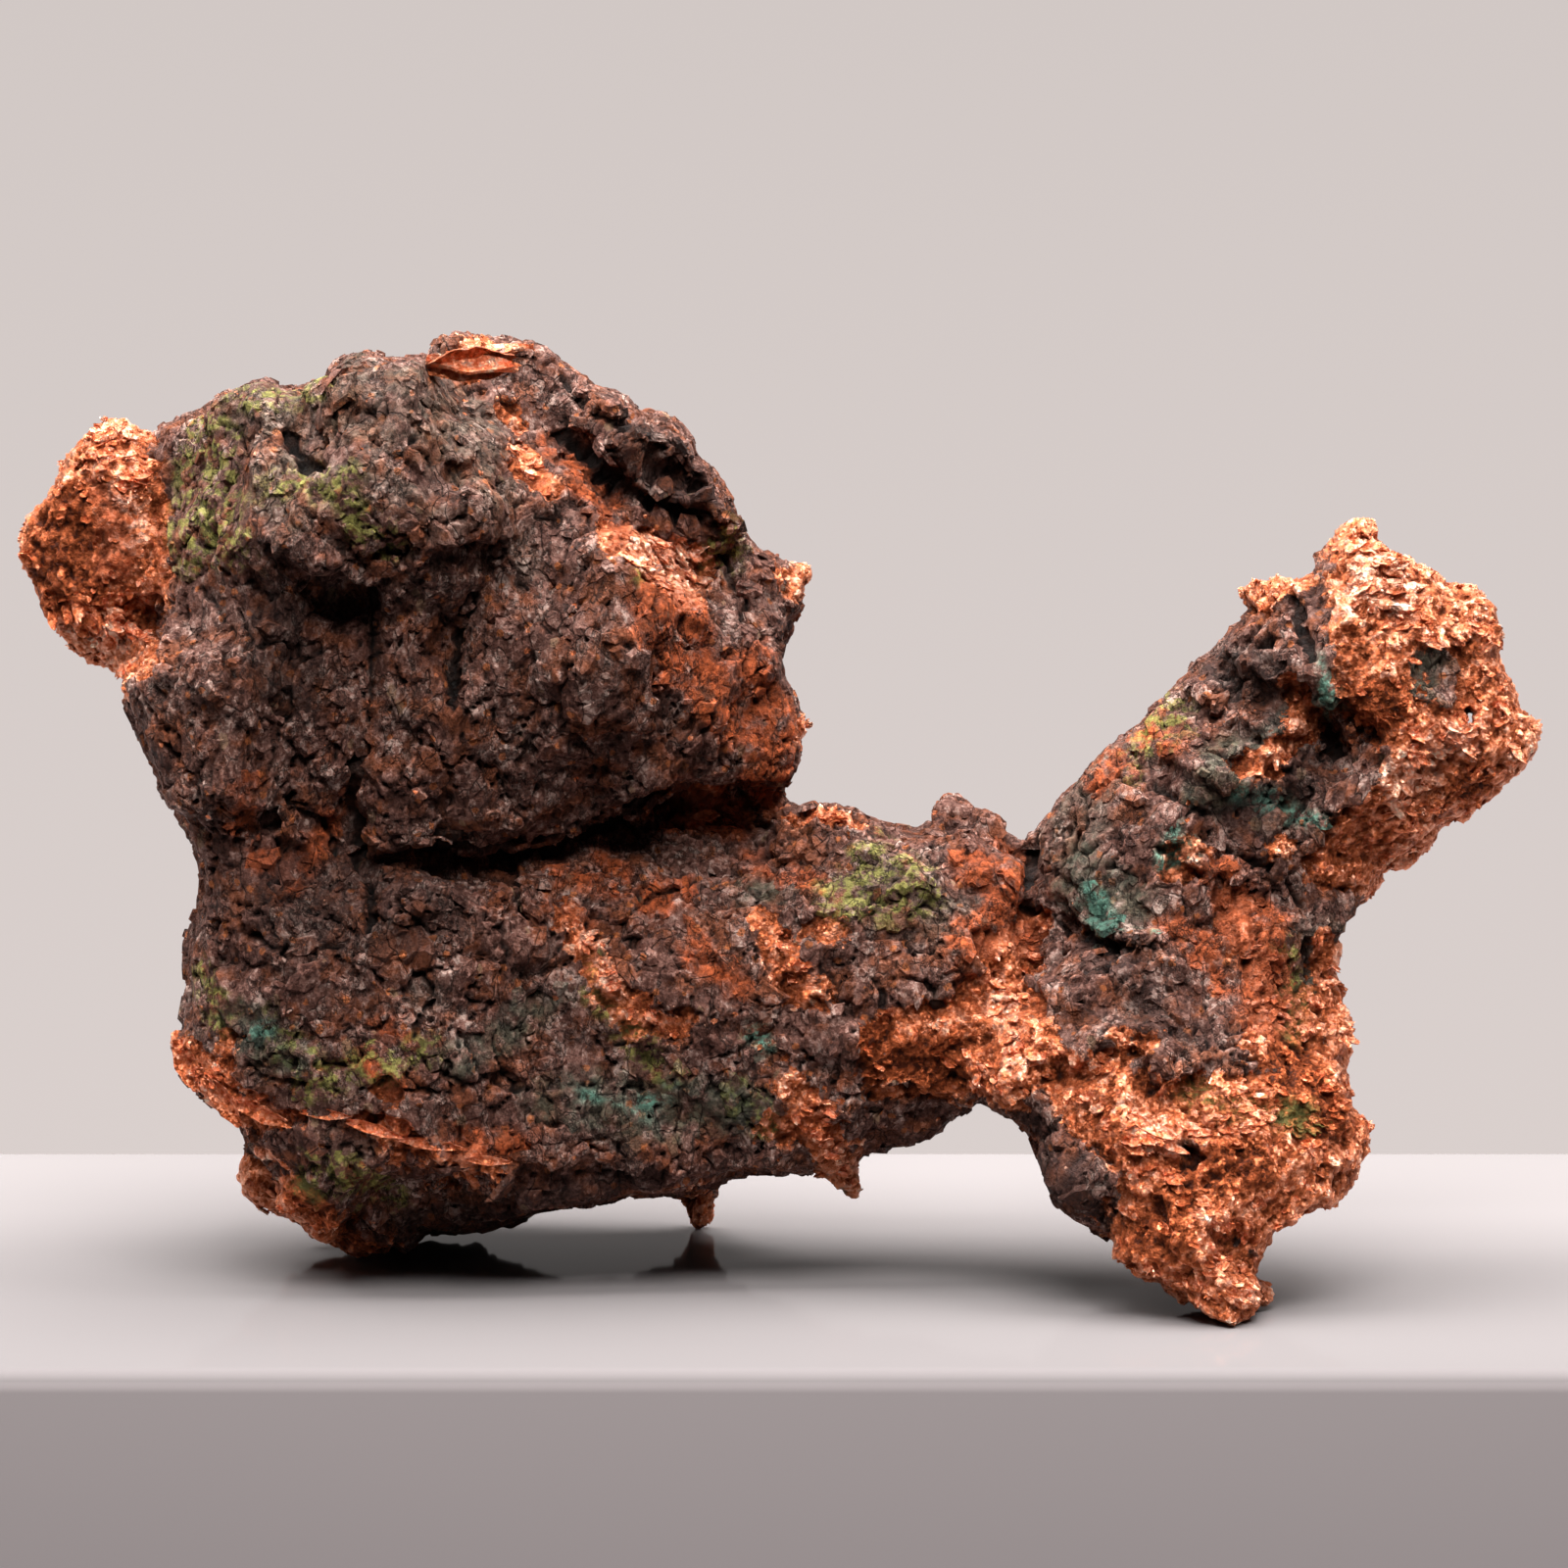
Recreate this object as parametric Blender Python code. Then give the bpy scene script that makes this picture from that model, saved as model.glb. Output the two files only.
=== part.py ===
"""Native copper nugget: a rounded head on a trunk, an arm, and a leaning branch with a foot.

One solid, modelled in metres with +Z up. It is 124 mm wide and stands on three small flats.
The main forms are drawn as front-view outlines, X to the right and Z up, in millimetres, and
puffed out in Y like a pillow. They are fused with smaller lumps, roughened, and cut off at Z = 0.
"""

import math

import bmesh
import bpy
import numpy as np
from mathutils import Matrix, Vector, noise

MM = 0.001

# Driving sizes, in millimetres.
FORM_VOXEL = 1.1
FUSE_VOXEL = 0.75
SKIN_GROWTH = 0.35
MOST_TRIANGLES = 9400
CURVE_STEPS = 3

HEAD_MIDDLE_Y = 6.5
HEAD_HALF_DEPTH = 23.0
HEAD_TOP_ROUND = 27.0
HEAD_BASE_ROUND = 12.0
TRUNK_HALF_DEPTH = 20.0
ARM_HALF_DEPTH = 13.0
TRUNK_TOP_ROUND = 17.0
TRUNK_BASE_ROUND = 8.0
COLUMN_MIDDLE_Y = 4.0
COLUMN_HALF_DEPTH = 21.0
COLUMN_ROUND = 9.0
ARM_MIDDLE_Y = -1.0
BRANCH_HALF_DEPTH = 11.5
BRANCH_ROUND = 13.0
FOOT_MIDDLE_Y = -21.5
LUG_HALF_DEPTH = 6.0
THIN_EDGE = 0.16

# Front-view outlines, (X, Z) in millimetres, anticlockwise or clockwise, always closed.
HEAD = [
    (-54.8, 48.4), (-53, 55), (-52, 62), (-50.8, 67), (-49, 69.6), (-46, 71.4), (-42.8, 72.8),
    (-40.4, 72), (-38.2, 72.4), (-36.4, 74.4), (-33, 74.8), (-29.6, 74.2), (-26, 75.2), (-22, 76.2),
    (-19.8, 75), (-17.4, 72.4), (-12.8, 70.6), (-10.2, 69.8), (-8.2, 67.4), (-7, 64.2), (-5.2, 61),
    (-3.2, 58.2), (-1, 56.6), (0, 53.6), (-0.8, 50.6), (0.2, 47), (0.6, 43.2), (0, 40.4),
    (-1.6, 37.4), (-4.6, 38.6), (-9, 38.6), (-12, 36.2), (-16, 34.4), (-22, 34), (-32, 33),
    (-40, 33), (-49.6, 35.2), (-51.8, 39.6), (-54, 44.4),
]
TRUNK = [
    (-52, 41), (-50, 35.5), (-48.6, 32), (-48.8, 29.4), (-49.2, 26), (-49.4, 22.6), (-48.6, 18.8),
    (-46.4, 14.4), (-43.6, 10.4), (-40.6, 6.2), (-36.4, 3.2), (-30.4, 2.4), (-24, 3.6), (-19, 4.8),
    (-12.8, 5.8), (-6.4, 6.8), (-3.2, 7.8), (2.8, 8.2), (6.2, 10.8), (10, 10.4), (12, 11.6), (14, 13.4),
    (16, 14.6), (19, 13.8), (22, 17), (22, 28), (20.2, 33), (18.4, 34), (16, 35.2), (12, 36),
    (8, 36.8), (4.8, 37.6), (0, 37), (-3.2, 36.4), (-8, 36), (-13, 36.2), (-19, 40), (-26, 44),
    (-40, 44), (-48, 44),
]
BRANCH = [
    (14, 17), (16.6, 14.8), (19, 14), (20.4, 11.6), (21.6, 9.2), (23, 7.8), (25, 6.8), (26.3, 6.2),
    (26.3, 4.4), (27.2, 3.4), (29.6, 2.8), (31.4, 1.4), (32.2, -0.5), (33.6, -2), (35.6, -2),
    (37.2, 0.5), (36.8, 2.8), (36.4, 4.6), (37.6, 6.6), (39.6, 8), (42.2, 8.8), (44.2, 10.8),
    (45, 13.1), (45.7, 14.6), (44.7, 16), (44.2, 18.4), (45.1, 21.1), (44.3, 22.5), (44.9, 23.6),
    (43.7, 24.6), (44.2, 26.8), (45.4, 29), (47.6, 31), (48.2, 32.8), (50.6, 33.4), (52.6, 34.8),
    (54, 36.8), (56, 37.8), (57.2, 39.2), (59.2, 40.6), (60.6, 42.4), (61.2, 44), (60.8, 45.4),
    (59.4, 46.2), (59, 48), (58, 50.2), (58.2, 51.6), (57.2, 54.2), (56, 55.6), (54.2, 55.8),
    (52.4, 57.2), (49.6, 58.8), (48.4, 60.4), (47, 61.2), (45.6, 60.8), (44.2, 58.4), (41.6, 56.6),
    (38.2, 54.2), (36.4, 51.8), (33.8, 49.6), (32, 47.6), (30, 45.8), (27.6, 43.6), (25.8, 41.8),
    (22.8, 38.2), (21, 36), (20.4, 33), (18, 27), (14, 22),
]
COLUMN = [
    (-53, 46), (-50.6, 38), (-48.6, 32), (-49.2, 24), (-47, 15), (-38, 11), (-30, 12), (-30, 20), (-33, 30),
    (-33.5, 38), (-32, 46), (-36, 54), (-46, 56), (-52, 52),
]
LUG = [
    (-56, 70.2), (-54, 69), (-51, 68.4), (-48, 66), (-48, 56), (-51, 51), (-53, 48.6), (-56.4, 49.6),
    (-58.4, 51.8), (-60.8, 54.4), (-62.4, 58.4), (-62, 61), (-60, 63.6), (-59, 66.4), (-57.6, 69),
]
SPUR = [(1.5, 11), (3.4, 8.2), (5.2, 6.6), (6.2, 6.2), (6.6, 8.2), (6.4, 12.5), (4, 13)]
TEETH = [
    (11.6, 35), (12.4, 37.4), (13.2, 39), (14.4, 38.6), (15.4, 37.6), (17.6, 37.6), (18.4, 35.4),
    (18.6, 33), (14, 32),
]

# Stepped plates on the front of the head: (outline, height in millimetres).
FRONT_LEDGES = [
    ([(-52, 40), (-50, 66), (-43, 72), (-36, 75), (-29, 74), (-28, 68), (-29, 62), (-31, 58.5),
      (-34.5, 56), (-38, 55), (-39.5, 48), (-43, 40)], 2.0),
    ([(-22, 75), (-16, 72), (-9, 70), (-7, 65), (-4, 59.5), (-9, 61.5), (-14, 65), (-18, 69)], 2.0),
    ([(-31, 56), (-28, 62), (-23, 66), (-19, 63), (-22, 57), (-28, 52)], 1.8),
]
BACK_LEDGES = [
    ([(-48, 50), (-46, 66), (-34, 72), (-24, 66), (-28, 54), (-40, 48)], 2.4),
    ([(-22, 60), (-10, 68), (-3, 56), (-8, 46), (-18, 50)], 2.0),
    ([(-40, 14), (-30, 30), (-12, 28), (-4, 18), (-20, 12)], 2.0),
]

# Open cracks: (line, depth, half width), in millimetres.
FRONT_CRACKS = [
    ([(-17, 67.5), (-13, 64), (-8.6, 61.4), (-4.4, 58.6)], 4.2, 1.2),
    ([(-38, 56.5), (-34.4, 55.6), (-31.2, 58.4), (-29, 63.6)], 2.2, 1.1),
    ([(-33.4, 55.4), (-33.4, 50), (-33.8, 44.6)], 1.6, 0.9),
    ([(-21.5, 60), (-25.6, 53), (-27.2, 46)], 1.8, 1.2),
    ([(-34.2, 40.6), (-34.6, 35), (-31, 33.6), (-27, 34.4)], 2.2, 1.0),
    ([(-27, 34.4), (-19, 34.4), (-12.4, 36.6), (-7, 39.4), (-2, 38.6)], 3.6, 1.2),
    ([(39.6, 53.2), (37.4, 50.6), (34, 49.4)], 2.2, 0.9),
    ([(46.6, 44.6), (42.6, 43.8), (41, 40.6), (35, 37.2)], 2.8, 1.6),
    ([(20.2, 36), (20, 31), (20.6, 27)], 2.6, 1.2),
]
BACK_CRACKS = [
    ([(-3, 39.5), (-10, 38), (-20, 36), (-34, 37)], 3.6, 1.4),
    ([(-38, 70), (-34, 60), (-36, 50), (-30, 44)], 2.4, 1.2),
    ([(-20, 70), (-18, 58), (-8, 50)], 2.2, 1.2),
    ([(20.4, 36), (20, 26), (17, 17)], 3.0, 1.4),
    ([(28, 42), (34, 36), (40, 34)], 2.0, 1.1),
]

# Crumpled metal, as areas of the front view. Everything outside them is crust, which breaks in flat chips.
METAL_AREAS = [
    [(43, 56), (48, 62), (57, 57), (62, 44), (52, 33), (46, 24), (43, 36), (46, 44), (42, 50)],
    [(18, 16), (28, 17), (36, 20), (45, 24), (47, 10), (38, 3), (37, -3), (31, -3), (27, 2), (26, 12)],
    [(-64, 72), (-50, 72), (-50.5, 60), (-52, 47), (-64, 47)],
    [(6, 12), (14, 20), (21, 24), (22, 14), (12, 10)],
]


def clear_scene():
    for obj in list(bpy.data.objects):
        bpy.data.objects.remove(obj)


def new_object(name, mesh):
    obj = bpy.data.objects.new(name, mesh)
    bpy.context.scene.collection.objects.link(obj)
    return obj


def points_of(mesh):
    values = np.empty(len(mesh.vertices) * 3, np.float64)
    mesh.vertices.foreach_get("co", values)
    return values.reshape(-1, 3)


def set_points(mesh, points):
    mesh.vertices.foreach_set("co", points.astype(np.float32).ravel())
    mesh.update()


def evaluated_copy(obj):
    """The object's mesh with its modifiers applied. The object itself is removed."""
    graph = bpy.context.evaluated_depsgraph_get()
    mesh = bpy.data.meshes.new_from_object(obj.evaluated_get(graph))
    bpy.data.objects.remove(obj)
    return mesh


def voxel_remesh(mesh, voxel):
    obj = new_object("remesh", mesh)
    remesh = obj.modifiers.new("voxels", "REMESH")
    remesh.mode = "VOXEL"
    remesh.voxel_size = voxel * MM
    return evaluated_copy(obj)


def rounded_outline(corners):
    """A closed Catmull-Rom curve through the corners, as an array of (X, Z)."""
    corners = np.array(corners, float)
    before, after, later = (np.roll(corners, shift, axis=0) for shift in (1, -1, -2))
    spans = []
    for step in range(CURVE_STEPS):
        t = step / CURVE_STEPS
        spans.append(
            0.5 * (2 * corners + (after - before) * t
                   + (2 * before - 5 * corners + 4 * after - later) * t ** 2
                   + (3 * corners - before - 3 * after + later) * t ** 3)
        )
    return np.stack(spans, axis=1).reshape(-1, 2)


def distance_to_line(points, line, closed=False):
    """The distance in the front view from each (X, Z) to a line of points."""
    line = np.array(line, float)
    ends = np.roll(line, -1, axis=0) if closed else line[1:]
    starts = line if closed else line[:-1]
    nearest = np.full(len(points), np.inf)
    for start, end in zip(starts, ends):
        along = end - start
        share = np.clip((points - start) @ along / max(along @ along, 1e-9), 0, 1)
        nearest = np.minimum(nearest, np.linalg.norm(points - start - share[:, None] * along, axis=1))
    return nearest


def inside(points, outline):
    """True for each (X, Z) that lies within the closed outline."""
    outline = np.array(outline, float)
    x, z = points[:, 0], points[:, 1]
    found = np.zeros(len(points), bool)
    for (x0, z0), (x1, z1) in zip(outline, np.roll(outline, -1, axis=0)):
        if z0 != z1:
            crosses = (z0 > z) != (z1 > z)
            found ^= crosses & (x < (x1 - x0) * (z - z0) / (z1 - z0) + x0)
    return found


def soft_step(value, low, high):
    t = np.clip((value - low) / (high - low), 0, 1)
    return t * t * (3 - 2 * t)


def at_points(size, x, z):
    """A size that is either one number or a function of the front view."""
    return size(x, z) if callable(size) else size


def pillow(corners, middle, half_depth, roundness):
    """A closed form with this front-view outline, puffed out in Y.

    Each size is a number or a function of X and Z, in millimetres. The form is thin along its
    outline and reaches its full depth at a distance of roundness inside it.
    """
    outline = rounded_outline(corners)
    flat = bmesh.new()
    face = flat.faces.new([flat.verts.new((x * MM, -MM, z * MM)) for x, z in outline])
    moved = bmesh.ops.extrude_face_region(flat, geom=[face])["geom"]
    bmesh.ops.translate(flat, vec=(0, 2 * MM, 0), verts=[v for v in moved if isinstance(v, bmesh.types.BMVert)])
    bmesh.ops.recalc_face_normals(flat, faces=flat.faces)
    mesh = bpy.data.meshes.new("pillow")
    flat.to_mesh(mesh)
    flat.free()
    mesh = voxel_remesh(mesh, FORM_VOXEL)
    points = points_of(mesh) / MM
    x, z = points[:, 0], points[:, 2]
    within = distance_to_line(points[:, [0, 2]], outline, closed=True) / at_points(roundness, x, z)
    swell = np.sqrt(1 - (1 - np.clip(within, 0, 1)) ** 2)
    swell = THIN_EDGE + (1 - THIN_EDGE) * swell
    points[:, 1] = at_points(middle, x, z) + np.clip(points[:, 1], -1, 1) * at_points(half_depth, x, z) * swell
    set_points(mesh, points * MM)
    return mesh


def lump(centre, radii, turn=(0, 0, 0), cuts=5, seed=0):
    """A boulder: a ball with a few flat faces struck off it, stretched to its radii in millimetres."""
    ball = bmesh.new()
    bmesh.ops.create_icosphere(ball, subdivisions=3, radius=1)
    for cut in range(cuts):
        direction = seeded_direction(seed * 31 + cut)
        reach = 0.74
        for vert in ball.verts:
            over = vert.co.dot(direction) - reach
            if over > 0:
                vert.co -= direction * over
    place = (
        Matrix.Translation(Vector(centre) * MM)
        @ Matrix.Rotation(math.radians(turn[2]), 4, "Z")
        @ Matrix.Rotation(math.radians(turn[1]), 4, "Y")
        @ Matrix.Rotation(math.radians(turn[0]), 4, "X")
        @ Matrix.Diagonal(Vector((*[r * MM for r in radii], 1)))
    )
    bmesh.ops.transform(ball, matrix=place, verts=ball.verts)
    mesh = bpy.data.meshes.new("lump")
    ball.to_mesh(mesh)
    ball.free()
    return mesh


def seeded_direction(seed):
    """A direction that is always the same for a seed."""
    turn = math.pi * noise.cell(Vector((seed * 7.3 + 0.5, 1.5, 0.5)))
    height = noise.cell(Vector((seed * 3.1 + 0.5, 5.5, 2.5)))
    ring = math.sqrt(1 - height * height)
    return Vector((ring * math.cos(turn), ring * math.sin(turn), height))


def head_round(x, z):
    return HEAD_BASE_ROUND + (HEAD_TOP_ROUND - HEAD_BASE_ROUND) * soft_step(z, 38, 58)


def head():
    return [
        pillow(HEAD, HEAD_MIDDLE_Y, HEAD_HALF_DEPTH, head_round),
        lump((-38, -4, 59), (12, 12, 14), (0, 10, 10), 5, 3),
        lump((-30, -8, 64), (9, 10, 9), (0, 20, 0), 4, 4),
        lump((-15, -8, 52), (12, 10, 14), (10, 0, -20), 6, 5),
        lump((-8.5, -4, 50), (7, 9, 12), (0, 0, -10), 4, 6),
        lump((-12, 4, 64), (9, 14, 7), (0, 35, 0), 6, 8),
        lump((-36, 21, 58), (14, 9, 13), (0, 10, 20), 7, 11),
        lump((-14, 22, 52), (12, 8, 12), (20, 0, 0), 6, 14),
        lump((-26, 20, 46), (16, 11, 10), (0, 0, 0), 5, 15),
        lump((-28, 8, 66), (14, 13, 7.6), (0, 3, 0), 6, 17),
        lump((-42, 6, 46), (9, 16, 10), (0, 0, 15), 5, 19),
    ]


def trunk_middle(x, z):
    return 4.5 + (ARM_MIDDLE_Y - 4.5) * soft_step(x, -22, 8)


def trunk_depth(x, z):
    return TRUNK_HALF_DEPTH + (ARM_HALF_DEPTH - TRUNK_HALF_DEPTH) * soft_step(x, -26, 4)


def trunk_round(x, z):
    return TRUNK_BASE_ROUND + (TRUNK_TOP_ROUND - TRUNK_BASE_ROUND) * soft_step(z, 10, 26)


def trunk():
    return [
        pillow(TRUNK, trunk_middle, trunk_depth, trunk_round),
        pillow(COLUMN, COLUMN_MIDDLE_Y, COLUMN_HALF_DEPTH, COLUMN_ROUND),
        lump((-40, -5, 38), (8, 11, 15), (0, 6, 0), 4, 21),
        lump((-32, -7, 24), (14, 9, 11), (0, 0, 0), 6, 23),
        lump((-10, -6, 22), (14, 8, 11), (0, 0, 5), 6, 27),
        lump((6, -4, 22), (11, 8, 10), (0, 10, 0), 6, 29),
        lump((-26, 18, 20), (15, 9, 12), (0, 0, -12), 7, 31),
        lump((-6, 9, 20), (12, 8, 10), (0, -8, 0), 6, 33),
        lump((13, 3, 22), (9, 8, 9), (0, 0, 0), 6, 35),
        lump((-28, 8, 9), (13, 15, 9), (0, -8, 0), 3, 36),
        lump((-12, 8, 11), (15, 14, 7), (0, -8, 0), 3, 37),
        lump((-22, 6, 36), (16, 12, 8), (0, 0, 0), 4, 38),
        lump((-8, 4, 38), (8, 10, 5), (0, 0, 0), 3, 39),
        pillow(SPUR, -4, 3.2, 3),
        pillow(TEETH, 1, 4, 3.5),
    ]


def branch_middle(x, z):
    """The branch leans back as it rises from its foot."""
    return FOOT_MIDDLE_Y * (1 - soft_step(z, -3, 34))


def branch():
    return [
        pillow(BRANCH, branch_middle, BRANCH_HALF_DEPTH, BRANCH_ROUND),
        lump((27, -8, 22), (9, 8, 10), (0, 0, 0), 6, 41),
        lump((35, -6.5, 27), (10, 7, 9), (0, 20, 0), 6, 43),
        lump((34.5, -3, 40), (7, 9, 10.5), (0, 42, 0), 7, 45),
        lump((46, -1, 50), (9, 10, 8.6), (0, 30, 0), 6, 47),
        lump((50, 3, 44), (9, 9, 8.4), (0, -20, 0), 6, 49),
        lump((34, 3, 30), (11, 8, 12), (0, 25, 0), 6, 51),
        lump((35, -12, 12), (8, 7, 8), (0, 0, 0), 5, 53),
        lump((26, -6, 10), (5, 6, 6), (0, -20, 0), 5, 55),
    ]


def left_foot():
    """The crusted corner that the trunk rests on, from front to back."""
    return [
        lump((-40.5, 2, 7.4), (4.6, 5, 4), (0, 20, 0), 4, 61),
        lump((-36.5, 5, 4.4), (5.6, 6, 4.2), (0, 10, 0), 4, 63),
        lump((-32.6, 9, 1.4), (4.2, 7, 3.6), (0, 0, 10), 3, 65),
        lump((-30, 14, 4), (6, 7, 5), (0, 0, 0), 5, 67),
    ]


def stub():
    """A short pillar of metal under the back of the trunk."""
    return [
        lump((-7.4, 20, 1.2), (1.7, 1.8, 2.8), (0, 0, 0), 2, 71),
        lump((-6.8, 20, 3.8), (2.0, 2.0, 2.4), (0, 15, 0), 2, 73),
        lump((-7.6, 19, 7.4), (2.8, 3.4, 3.6), (0, 0, 0), 3, 75),
        lump((-10, 16, 10), (8, 7, 4.5), (0, 0, 0), 5, 77),
    ]


def metal_growths():
    """Small flakes and hooks of bare metal that stand off the outline."""
    return [
        pillow(LUG, 0.5, LUG_HALF_DEPTH, 5.5),
        lump((-25.4, -1, 75.6), (3.6, 2.8, 1.5), (12, 3, 0), 2, 81),
        lump((0.8, 4, 56), (2.6, 2.2, 2.0), (0, -30, 0), 3, 83),
        lump((1.0, 4, 44.6), (2.2, 1.8, 1.3), (0, -10, 0), 3, 85),
        lump((38.6, 2, 55.6), (2.6, 1.8, 1.2), (0, -16, 0), 2, 87),
        lump((47, 1, 60.4), (2.0, 2.6, 1.5), (0, 0, 0), 3, 88),
        lump((59.4, 1, 45), (2.2, 2.4, 2.0), (0, 0, 0), 3, 90),
        lump((45.4, -14, 12), (2.0, 3.4, 3.4), (0, 0, 0), 3, 92),
        lump((37.2, -19, 1.0), (1.5, 2.4, 1.5), (0, 0, 0), 3, 93),
        lump((-48.2, 2, 18.2), (2.0, 3.4, 2.6), (0, -30, 0), 3, 89),
        lump((-46, 2, 14.4), (2.6, 4, 3.6), (0, -40, 0), 3, 91),
    ]


def fused(meshes):
    """One closed skin around all the overlapping forms."""
    gathered = bmesh.new()
    for mesh in meshes:
        gathered.from_mesh(mesh)
        bpy.data.meshes.remove(mesh)
    mesh = bpy.data.meshes.new("nugget")
    gathered.to_mesh(mesh)
    gathered.free()
    return voxel_remesh(mesh, FUSE_VOXEL)


def normals_of(mesh):
    values = np.empty(len(mesh.vertices) * 3, np.float64)
    mesh.vertices.foreach_get("normal", values)
    return values.reshape(-1, 3)


def shear_off_under_trunk(points):
    """The trunk is broken off below along a sloping face, which leaves a sharp rim along its front."""
    x, y, z = points.T
    on_trunk = soft_step(x, -36, -31) * (1 - soft_step(x, 2, 6))
    slope = 0.41 - 0.2 * soft_step(x, -28, -2)
    floor = np.clip(10.9 - (y + 15) * slope, 1.6, 10.9)
    lifted = np.where((z < floor) & (y < 15), floor, z)
    points[:, 2] = z + (lifted - z) * on_trunk
    return points


def step_plates(points, normals, ledges, side):
    """Raises the area within each ledge outline, on the front (side -1) or the back (side 1)."""
    front_view = points[:, [0, 2]]
    facing = soft_step(side * normals[:, 1], 0.05, 0.45)
    for outline, height in ledges:
        edge = distance_to_line(front_view, outline, closed=True)
        depth = np.where(inside(front_view, outline), edge, -edge)
        points[:, 1] += side * height * facing * soft_step(depth, -0.6, 0.8)
    return points


def open_cracks(points, normals, cracks, side):
    front_view = points[:, [0, 2]]
    facing = soft_step(side * normals[:, 1], -0.1, 0.3)
    for line, depth, half_width in cracks:
        nearness = np.exp(-(distance_to_line(front_view, line) / half_width) ** 2)
        points[:, 1] -= side * depth * facing * nearness
    return points


def metal_share(points):
    """1 where the surface is crumpled metal and 0 where it is crust."""
    front_view = points[:, [0, 2]]
    share = np.zeros(len(points))
    for area in METAL_AREAS:
        edge = distance_to_line(front_view, area, closed=True)
        depth = np.where(inside(front_view, area), edge, -edge)
        share = np.maximum(share, soft_step(depth, -1, 1))
    return share


def chip(place, size):
    """Crust breaks in flat chips: each Voronoi cell stands at its own height, with a groove round it."""
    distances, centres = noise.voronoi(place / size)
    groove = min(1.0, (distances[1] - distances[0]) / 0.12)
    return 0.5 * noise.cell(centres[0] * 3.7) - 0.45 * (1 - groove)


def crumple(place, size):
    """Bare metal is crumpled into small knobs and pits."""
    return noise.ridged_multi_fractal(place / size, 0.9, 2.1, 3, 0.9, 2.0) - 1.0


def roughen(points, normals):
    swell = np.array([noise.fractal(Vector(p) / 13, 1.0, 2.0, 3) for p in points])
    large = np.array([chip(Vector(p) + Vector((3, 7, 1)), 7.5) for p in points])
    small = np.array([chip(Vector(p), 3.4) for p in points])
    crinkle = np.array([crumple(Vector(p), 4.2) for p in points])
    metal = metal_share(points)
    crust_relief = 1.2 * swell + 1.0 * large + 0.45 * small
    metal_relief = 0.9 * swell + 0.75 * crinkle
    relief = SKIN_GROWTH + crust_relief * (1 - metal) + metal_relief * metal
    return points + normals * relief[:, None]


def thinned(mesh):
    """The same skin with fewer triangles, which are spent where it bends most."""
    obj = new_object("thin", mesh)
    decimate = obj.modifiers.new("fewer", "DECIMATE")
    mesh.calc_loop_triangles()
    decimate.ratio = MOST_TRIANGLES / len(mesh.loop_triangles)
    decimate.use_collapse_triangulate = True
    return evaluated_copy(obj)


def cut_flat(mesh, height):
    """Cuts the skin off at this height, in metres, and closes each cut with a flat face."""
    skin = bmesh.new()
    skin.from_mesh(mesh)
    bmesh.ops.bisect_plane(
        skin, geom=skin.verts[:] + skin.edges[:] + skin.faces[:], plane_co=(0, 0, height), plane_no=(0, 0, 1),
        clear_inner=True,
    )
    rims = [edge for edge in skin.edges if edge.is_boundary]
    bmesh.ops.holes_fill(skin, edges=rims, sides=0)
    bmesh.ops.recalc_face_normals(skin, faces=skin.faces)
    skin.to_mesh(mesh)
    skin.free()


def stand_on_origin(mesh):
    """Moves the nugget so that the middle of its footprint's box is at the origin."""
    points = points_of(mesh)
    low, high = points.min(axis=0), points.max(axis=0)
    shift = -(low + high) / 2
    shift[2] = -low[2]
    set_points(mesh, points + shift)
    print("shifted by", [round(value / MM, 3) for value in shift], "mm")


def crust_and_copper():
    material = bpy.data.materials.new("crust_and_copper")
    material.use_nodes = True
    shader = material.node_tree.nodes["Principled BSDF"]
    shader.inputs["Base Color"].default_value = (0.16, 0.075, 0.055, 1)
    shader.inputs["Roughness"].default_value = 0.55
    shader.inputs["Metallic"].default_value = 0.35
    return material


def build_nugget():
    mesh = fused(head() + trunk() + branch() + left_foot() + stub() + metal_growths())
    points, normals = points_of(mesh) / MM, normals_of(mesh)
    points = shear_off_under_trunk(points)
    points = step_plates(points, normals, FRONT_LEDGES, -1)
    points = step_plates(points, normals, BACK_LEDGES, 1)
    points = open_cracks(points, normals, FRONT_CRACKS, -1)
    points = open_cracks(points, normals, BACK_CRACKS, 1)
    set_points(mesh, points * MM)
    points = roughen(points, normals_of(mesh))
    set_points(mesh, points * MM)
    mesh = voxel_remesh(mesh, FUSE_VOXEL)
    mesh = thinned(mesh)
    cut_flat(mesh, 0.0)
    stand_on_origin(mesh)
    mesh.name = "nugget"
    mesh.materials.clear()
    mesh.materials.append(crust_and_copper())
    return new_object("nugget", mesh)


clear_scene()
build_nugget()
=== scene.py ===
# %% [markdown]
# # A nugget of native copper
# A native copper nugget is one lump of metal that grew in the gaps of a rock. Most of it wears a dark, crumbly
# crust of copper oxide and old rock, and the bare metal shows where the crust has broken off: crumpled, pitted and
# bright on its knobs, red-brown in its hollows. Green and teal dust, which is copper carbonate, sits in the
# sheltered places.
#
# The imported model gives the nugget's main form. Here it gets its skin. Everything is in metres, and the model
# itself is never touched: the skin starts as a copy of it.

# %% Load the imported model
import itertools
import math

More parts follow.
